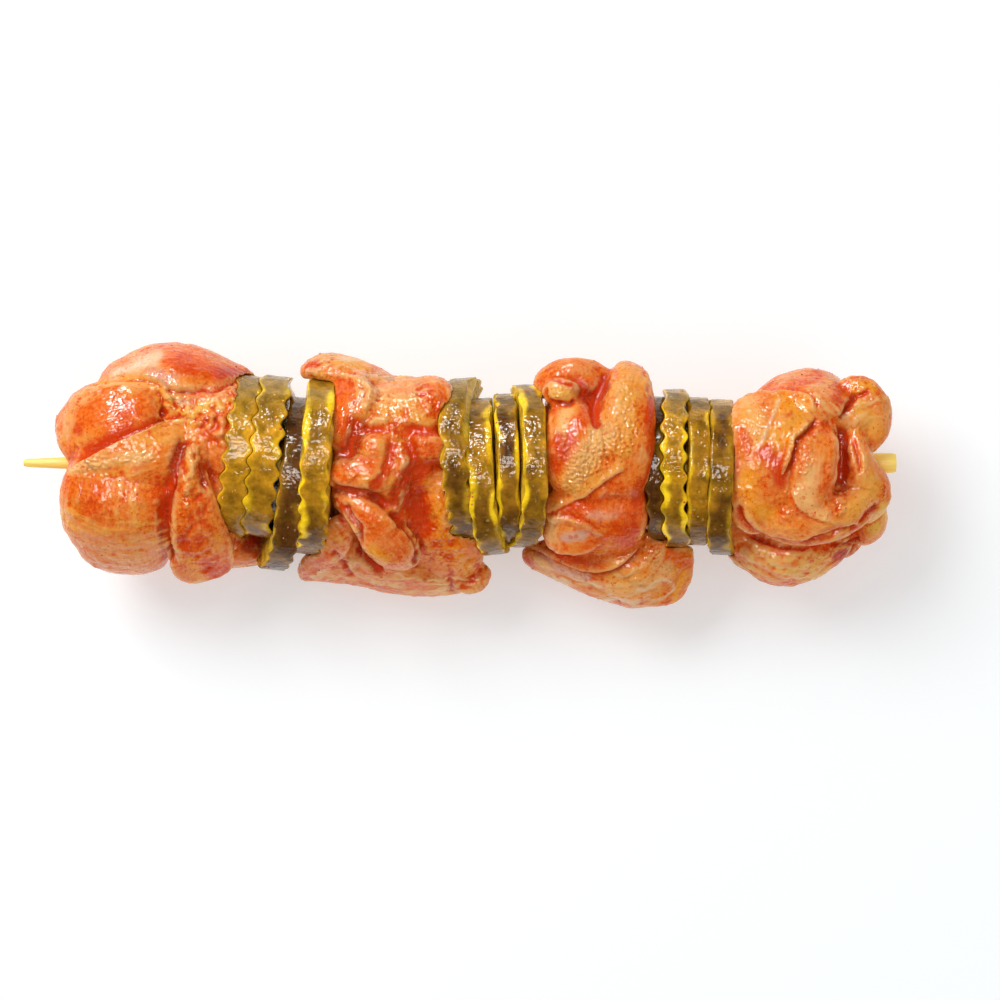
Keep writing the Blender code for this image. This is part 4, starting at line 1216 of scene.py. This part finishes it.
def apply_strokes(name, points, seen):
    """The height that the strokes add along the normals, their colours, and how wet they are."""
    height = np.zeros(len(points))
    wet = np.zeros(len(points))
    paint = []
    wander = np.column_stack([lumps(points, 2.5, 11), lumps(points, 2.5, 12)]) * 0.8
    for kind, tint, width, amount, route in strokes_of(name):
        line = stroke_line(route)
        reach = 2.5 * width + 1
        near = np.all(points[:, :2] > line.min(axis=0) - reach, axis=1)
        near &= np.all(points[:, :2] < line.max(axis=0) + reach, axis=1)
        near = np.flatnonzero(near & (seen > 0.01))
        soft = 0.35 if kind in ("groove", "hollow", "ridge", "lap") else 1.0
        signed, travel, whole = across_and_along(points[near, :2] + wander[near] * soft, line)
        fades = [smooth_step(way, -0.1 * width, 0.9 * width) for way in (travel, whole - travel)]
        ends = fades[0] * fades[1]
        share = np.clip(1 - np.abs(signed) / width, 0, 1)
        visible = seen[near]
        if kind == "groove":
            height[near] -= amount * share**2 * ends * visible
            # The groove's floor takes the stroke's tint: partly paste that collects there, partly
            # painted shade.
            paint.append((near, tint, smooth_step(share, 0.05, 0.6) * ends * visible * 0.9))
        elif kind == "hollow":
            height[near] -= amount * smooth_step(share, 0, 1) * visible
        elif kind == "ridge":
            height[near] += amount * smooth_step(share, 0, 1) * ends * visible
            # The crest takes the stroke's tint; with pale or cream it is partly a painted
            # highlight.
            paint.append((near, tint, smooth_step(share, 0, 0.8) * ends * visible * 0.6))
        elif kind == "lap":
            over = smooth_step(signed, -0.35, 0.35)
            raised = amount * np.clip(1 - signed / width, 0, 1) ** 2 * over
            pressed = 0.6 * amount * np.clip(1 + signed / (0.6 * width), 0, 1) ** 2 * (1 - over)
            height[near] += (raised - pressed) * ends * visible
            # The low side under the lap takes the stroke's tint as painted shade.
            low_side = np.clip(1 + signed / (0.7 * width), 0, 1) * (1 - over)
            paint.append((near, tint, low_side * ends * visible * 0.9))
        elif kind == "fibre":
            strands = np.column_stack([travel / 9, signed / 0.75, points[near, 2] * 0.02])
            strand = lumps(strands, 1.0, 21) + 0.5 * lumps(strands * (1.6, 2.1, 1), 1.0, 22)
            fade = smooth_step(share, 0, 0.5) * visible
            height[near] += amount * strand * fade
            paint.append((near, tint, smooth_step(strand, 0.0, 0.5) * fade * 0.75))
        elif kind == "grain":
            bits = lumps(points[near], 1.7, 31) + 0.6 * lumps(points[near], 0.9, 32)
            fade = smooth_step(share, 0, 0.5) * visible
            height[near] += amount * bits * fade
            paint.append((near, tint, smooth_step(-bits, 0.0, 0.5) * fade * 0.7))
        elif kind == "wet":
            wet[near] = np.maximum(wet[near], amount * smooth_step(share, 0, 0.7) * visible)
        elif kind == "dry":
            wet[near] -= amount * smooth_step(share, 0, 0.7)
        elif kind == "tint":
            paint.append((near, tint, amount * smooth_step(share, 0, 0.8) * visible))
    return height, paint, wet


def sculpt_meat(name, mesh, look):
    """Relief and colours of one meat piece."""
    points, normals = points_of(mesh), normals_of(mesh)
    edges = np.empty(len(mesh.edges) * 2, int)
    mesh.edges.foreach_get("vertices", edges)
    edges = edges.reshape(-1, 2)
    seen = seen_from_above(points, normals, edges)
    palette = {field: np.array(getattr(look, field)) for field in COLOUR_FIELDS}
    height, paint, wet = apply_strokes(name, points, seen)
    folds = along_folds(name, points)
    strands = lumps(folds * (0.09, 0.8, 0.8), 1, 61) + 0.6 * lumps(folds * (0.16, 1.7, 1.7), 1, 62)
    stringy = 0.3 + 0.7 * smooth_step(lumps(points, 8, 63), -0.2, 0.35)
    bumpy = 0.35 + 0.65 * smooth_step(lumps(points, 9, 64), -0.25, 0.3)
    small_bumps = 0.9 * lumps(points, 2.6, 2) + 0.5 * lumps(points, 1.3, 3)
    general = (lumps(points, 6, 1) + bumpy * small_bumps) * (look.relief / MM)
    general += look.fibre / MM * strands * stringy
    moved = points + normals * (height + general)[:, None]
    moved[:, 2] = np.maximum(moved[:, 2], -MIDDLE.z / MM)
    cavity = ((relaxed(moved, edges, RELAXING_STEPS) - moved) * normals).sum(axis=1)

    patches = lumps(points, 9, 41) + 0.5 * lumps(points, 4, 42)
    dusting = lumps(points, 1.1, 44) + 0.6 * lumps(points, 0.6, 45) + 0.7 * lumps(points, 6, 46)
    bare = lumps(points * (0.6, 1, 1), 5, 43)
    everywhere = (
        ("orange", smooth_step(patches, 0.05, 0.6) * 0.6),
        ("apricot", smooth_step(-patches, 0.05, 0.6) * 0.6),
        ("pale", smooth_step(strands, 0.1, 0.7) * stringy * 0.45),
        ("orange", smooth_step(-strands, 0.15, 0.8) * stringy * 0.4),
        ("orange", smooth_step(dusting, 0.1, 0.5) * 0.5),
        ("red", smooth_step(dusting, 0.4, 0.9) * 0.6),
        ("pink", smooth_step(bare, 0.15, 0.6) * 0.4),
    )
    # Red and deep red in the creases are paste that pools there and also painted shade where the
    # creases fall dark; the bulges are paler.
    in_creases = (
        ("red", smooth_step(cavity, 0.04, 0.3) * 0.8),
        ("deep", smooth_step(cavity, 0.25, 0.7) * 0.75),
        ("pale", smooth_step(-cavity, 0.05, 0.25) * 0.5),
    )
    colours = np.tile(palette["flesh"], (len(points), 1))
    for tint, share in everywhere:
        colours = blend_colour(colours, palette[tint], share)
    for near, tint, share in paint:
        colours[near] = blend_colour(colours[near], palette[tint], share)
    for tint, share in in_creases:
        colours = blend_colour(colours, palette[tint], share)
    reddest = colours[:, 0] / (colours[:, 1] + 0.05)
    spice = 0.25 + 0.5 * smooth_step(reddest, 1.8, 6)
    spice += 0.5 * lumps(points, 7, 52) + 0.3 * lumps(points, 2.5, 53)
    move_points(mesh, moved)
    store_colours(mesh, "Tint", colours)
    store_values(mesh, "Spice", np.clip(spice, 0, 1))
    store_places(mesh, "Strand", folds * STRAND_STRETCH)
    puddles = 0.4 * smooth_step(lumps(points, 6, 51), 0.0, 0.5)
    store_values(mesh, "Wet", np.clip(wet + puddles, 0, 2))


# The skewer


def skewer_mesh():
    """The skewer as a split bamboo stick with a rubbed point and a sawn end."""
    half = SKEWER_LENGTH / 2
    angle = 2 * np.pi * np.arange(STICK_SIDES) / STICK_SIDES
    facets = 1 - 0.025 * np.abs(np.sin(STICK_FACETS / 2 * angle + 0.4))
    points = []
    for k in range(STICK_ROWS + 1):
        x = -half + SKEWER_LENGTH * k / STICK_ROWS
        taper = min((x + half) / TAPER_LENGTH, 1)
        radius = TIP_DIAMETER / 2 + (SKEWER_DIAMETER - TIP_DIAMETER) / 2 * taper
        strands = [noise.noise((x / 40, 6 * math.cos(a), 6 * math.sin(a))) for a in angle]
        chamfer = max(CHAMFER - min(x + half, half - x), 0)
        r = radius * facets + STICK_RELIEF * (np.array(strands) - 1) - chamfer
        points += [(x, r[i] * math.cos(a), r[i] * math.sin(a)) for i, a in enumerate(angle)]
    faces = []
    for k in range(STICK_ROWS):
        here, there = k * STICK_SIDES, (k + 1) * STICK_SIDES
        for i in range(STICK_SIDES):
            j = (i + 1) % STICK_SIDES
            faces.append((here + i, there + i, there + j, here + j))
    for row, x, way in ((0, -half, 1), (STICK_ROWS, half, -1)):
        middle = len(points)
        points.append((x, 0, 0))
        for i in range(STICK_SIDES):
            ring = (row * STICK_SIDES + i, row * STICK_SIDES + (i + 1) % STICK_SIDES)
            faces.append((middle, *ring[::way]))
    mesh = mesh_from("skewer", points, faces)
    mesh.set_sharp_from_angle(angle=math.radians(50))
    return mesh


# Spices and brine


def chip_shape(rng, size, flatness):
    """A small irregular chip: its points about the origin, and its faces."""
    bm = bmesh.new()
    bmesh.ops.create_icosphere(bm, subdivisions=1, radius=1)
    stretch = (rng.uniform(0.7, 1.5), rng.uniform(0.6, 1.1), flatness)
    points = []
    for vert in bm.verts:
        points.append([c * s * size * rng.uniform(0.75, 1.2) for c, s in zip(vert.co, stretch)])
    faces = [tuple(v.index for v in f.verts) for f in bm.faces]
    bm.free()
    return points, faces


def scatter(name, hosts, amount, sizes, flatness, seed, keep):
    """Chips strewn over the host meshes as one mesh, half sunk in them."""
    rng = random.Random(seed)
    spots = []
    for mesh in hosts:
        points, normals = points_of(mesh), normals_of(mesh)
        chosen = rng.sample(range(len(points)), min(6 * amount, len(points)))
        spots += [(points[i], normals[i]) for i in chosen]
    rng.shuffle(spots)
    spots = [spot for spot in spots if keep(rng, *spot)][:amount]
    all_points, all_faces = [], []
    for place, normal in spots:
        size = rng.uniform(*sizes)
        chip, faces = chip_shape(rng, size, flatness)
        spin = Matrix.Rotation(rng.uniform(0, 6.28), 3, "Z")
        turn = Vector(normal).to_track_quat("Z", "X").to_matrix() @ spin
        first = len(all_points)
        centre = Vector(place) + Vector(normal) * size * 0.1
        all_points += [tuple(centre + turn @ Vector(p)) for p in chip]
        all_faces += [tuple(first + i for i in face) for face in faces]
    return mesh_from(name, all_points, all_faces)


def finish_piece(name, mesh, nodes, material):
    """Adds a piece that rides on the kebab and stands for these CAD nodes."""
    mesh.materials.clear()
    mesh.materials.append(material)
    piece = add_mesh_object(name, mesh)
    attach(piece, "root")
    if nodes:
        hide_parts(*nodes)


class KEBAB_OT_skewer(bpy.types.Operator):
    """Adds the bamboo skewer"""

    bl_idname = "kebab.add_skewer"
    bl_label = "Skewer"

    def execute(self, context):
        look = context.scene.kebab.skewer
        material = bamboo_material(look)
        finish_piece("bamboo_skewer", skewer_mesh(), ["skewer"], material)
        return {"FINISHED"}


class KEBAB_OT_pickles(bpy.types.Operator):
    """Adds the crinkle-cut pickle slices"""

    bl_idname = "kebab.add_pickles"
    bl_label = "Pickle slices"

    def execute(self, context):
        look = context.scene.kebab.pickle
        material = pickle_material(look)
        for side, stack in STACKS.items():
            for number in range(len(stack)):
                place = f"{side}_{number + 1}"
                mesh = pickle_slice(f"pickle_{place}", stack, number, look)
                finish_piece(f"crinkle_{place}", mesh, [f"pickle_{place}"], material)
        return {"FINISHED"}


class KEBAB_OT_chicken(bpy.types.Operator):
    """Adds the four pieces of marinated chicken"""

    bl_idname = "kebab.add_chicken"
    bl_label = "Chicken"

    def execute(self, context):
        look = context.scene.kebab.chicken
        material = chicken_material(look)
        shared = [
            add_mesh_object("floor_room", floor_room()),
            add_mesh_object("bore_room", skewer_bore()),
        ]
        slices = context.scene.kebab.pickle
        rooms = {}
        for side, stack in STACKS.items():
            made = [slice_room(stack, number, slices) for number in range(len(stack))]
            rooms[side] = [add_mesh_object("slice_room", mesh) for mesh in made]
        for node, sides in NEIGHBOURS.items():
            cutters = shared + [room for side in sides for room in rooms[side]]
            mesh = folded_meat(node, cutters, look.grain_size)
            mesh.shade_smooth()
            sculpt_meat(node, mesh, look)
            finish_piece(f"chicken_{node[-1]}", mesh, [node], material)
        for cutter in shared + [room for side in rooms.values() for room in side]:
            bpy.data.objects.remove(cutter, do_unlink=True)
        return {"FINISHED"}


class KEBAB_OT_spices(bpy.types.Operator):
    """Adds paprika flakes, pepper grains and drops of brine"""

    bl_idname = "kebab.add_spices"
    bl_label = "Spices and brine"

    def execute(self, context):
        look = context.scene.kebab.spice
        meats = [bpy.data.objects[f"chicken_{n + 1}"].data for n in range(len(NEIGHBOURS))]
        places = [f"{side}_{n + 1}" for side, stack in STACKS.items() for n in range(len(stack))]
        slices = [bpy.data.objects[f"crinkle_{place}"].data for place in places]

        def exposed(rng, place, normal):
            return noise.noise(Vector(place) / 6) > rng.uniform(-0.3, 0.35)

        def on_rim(rng, place, normal):
            return normal[2] > 0.2 and abs(normal[0]) < 0.6

        paprika = new_material("paprika flake", look.paprika, 0.35, Coat_Weight=0.5)[0]
        pepper = new_material("pepper grain", look.pepper, 0.5)[0]
        brine = new_material("brine", look.brine, 0.04, Transmission_Weight=0.9, IOR=1.34)[0]
        # What each kind lands on, where it stays, and its slot
        on_meat = (meats, exposed, "marinated_meat")
        strays = (slices, on_rim, "marinated_meat")
        on_slices = (slices, on_rim, "pickle")
        for name, where, amount, sizes, flatness, seed, material in (
            ("paprika_flakes", on_meat, look.paprika_count, (0.08, 0.24), 0.5, 3, paprika),
            ("stray_flakes", strays, look.stray_count, (0.15, 0.34), 0.5, 6, paprika),
            ("pepper_grains", on_meat, look.pepper_count, (0.13, 0.24), 0.7, 4, pepper),
            ("brine_beads", on_slices, look.bead_count, (0.15, 0.4), 0.6, 5, brine),
        ):
            hosts, keep, slot = where
            mesh = scatter(name, hosts, amount, sizes, flatness, seed, keep)
            finish_piece(name, mesh, [], material)
        return {"FINISHED"}


class KEBAB_OT_studio(bpy.types.Operator):
    """Adds the floor, the lights and the camera"""

    bl_idname = "kebab.add_studio"
    bl_label = "Studio"

    def execute(self, context):
        look = context.scene.kebab.studio
        bm = bmesh.new()
        bmesh.ops.create_grid(bm, x_segments=1, y_segments=1, size=FLOOR_HALF_WIDTH)
        mesh = bpy.data.meshes.new("floor")
        bm.to_mesh(mesh)
        bm.free()
        floor = add_mesh_object("floor", mesh)
        white = {"Emission_Color": (1, 1, 1), "Emission_Strength": look.floor_glow}
        mesh.materials.append(new_material("studio floor", look.floor, 0.9, **white)[0])

        world = bpy.data.worlds.new("surround")
        context.scene.world = world
        world.use_nodes = True
        background = world.node_tree.nodes["Background"]
        background.inputs["Color"].default_value = (1, 1, 1, 1)
        background.inputs["Strength"].default_value = look.sky
        world.cycles_visibility.glossy = False

        # Each light's power, width in metres, place from the skewer's middle, and the rays that
        # don't see it
        for name, energy, size, place, hidden_from in (
            ("key", look.key_energy, 0.6, (-0.52, 0.52, 0.76), "visible_glossy"),
            ("glint", look.glint_energy, 0.2, (-0.34, 0.6, 0.78), "visible_diffuse"),
            ("top glint", look.top_glint_energy, 0.34, (-0.12, 0.12, 1.1), "visible_diffuse"),
            ("far glint", look.far_glint_energy, 0.24, (-0.16, 0.95, 0.6), "visible_diffuse"),
            ("fill", look.fill_energy, 1.2, (0.6, -0.5, 0.9), "visible_glossy"),
        ):
            light = bpy.data.lights.new(name, "AREA")
            light.energy = energy
            light.size = size
            obj = bpy.data.objects.new(name, light)
            obj.location = MIDDLE + Vector(place)
            obj.rotation_euler = (-Vector(place)).to_track_quat("-Z", "Y").to_euler()
            setattr(obj, hidden_from, False)
            context.scene.collection.objects.link(obj)

        camera = bpy.data.cameras.new("camera")
        camera.lens = look.lens
        camera.clip_start = 0.01
        eye = bpy.data.objects.new("camera", camera)
        distance = look.view_width / camera.sensor_width * look.lens
        eye.location = MIDDLE + Vector((look.view_x, look.view_y, distance))
        context.scene.collection.objects.link(eye)
        context.scene.camera = eye
        context.scene.view_settings.view_transform = "Standard"
        return {"FINISHED"}


class KEBAB_PT_sidebar(bpy.types.Panel):
    """Lists the kebab's pieces and its studio"""

    bl_idname = "KEBAB_PT_sidebar"
    bl_label = "Chicken kebab"
    bl_space_type = "VIEW_3D"
    bl_region_type = "UI"
    bl_category = "Kebab"

    def draw(self, context):
        for operator in OPERATORS:
            self.layout.operator(operator.bl_idname)


LOOKS = (ChickenLook, PickleLook, SkewerLook, SpiceLook, StudioLook, KebabLook)
OPERATORS = (KEBAB_OT_skewer, KEBAB_OT_pickles, KEBAB_OT_chicken, KEBAB_OT_spices, KEBAB_OT_studio)


def register():
    for each in (*LOOKS, *OPERATORS, KEBAB_PT_sidebar):
        bpy.utils.register_class(each)
    bpy.types.Scene.kebab = PointerProperty(type=KebabLook)


def unregister():
    del bpy.types.Scene.kebab
    for each in reversed((*LOOKS, *OPERATORS, KEBAB_PT_sidebar)):
        bpy.utils.unregister_class(each)


def main():
    register()
    bpy.ops.kebab.add_skewer()
    bpy.ops.kebab.add_pickles()
    bpy.ops.kebab.add_chicken()
    bpy.ops.kebab.add_spices()
    bpy.ops.kebab.add_studio()


if __name__ == "__main__":
    main()
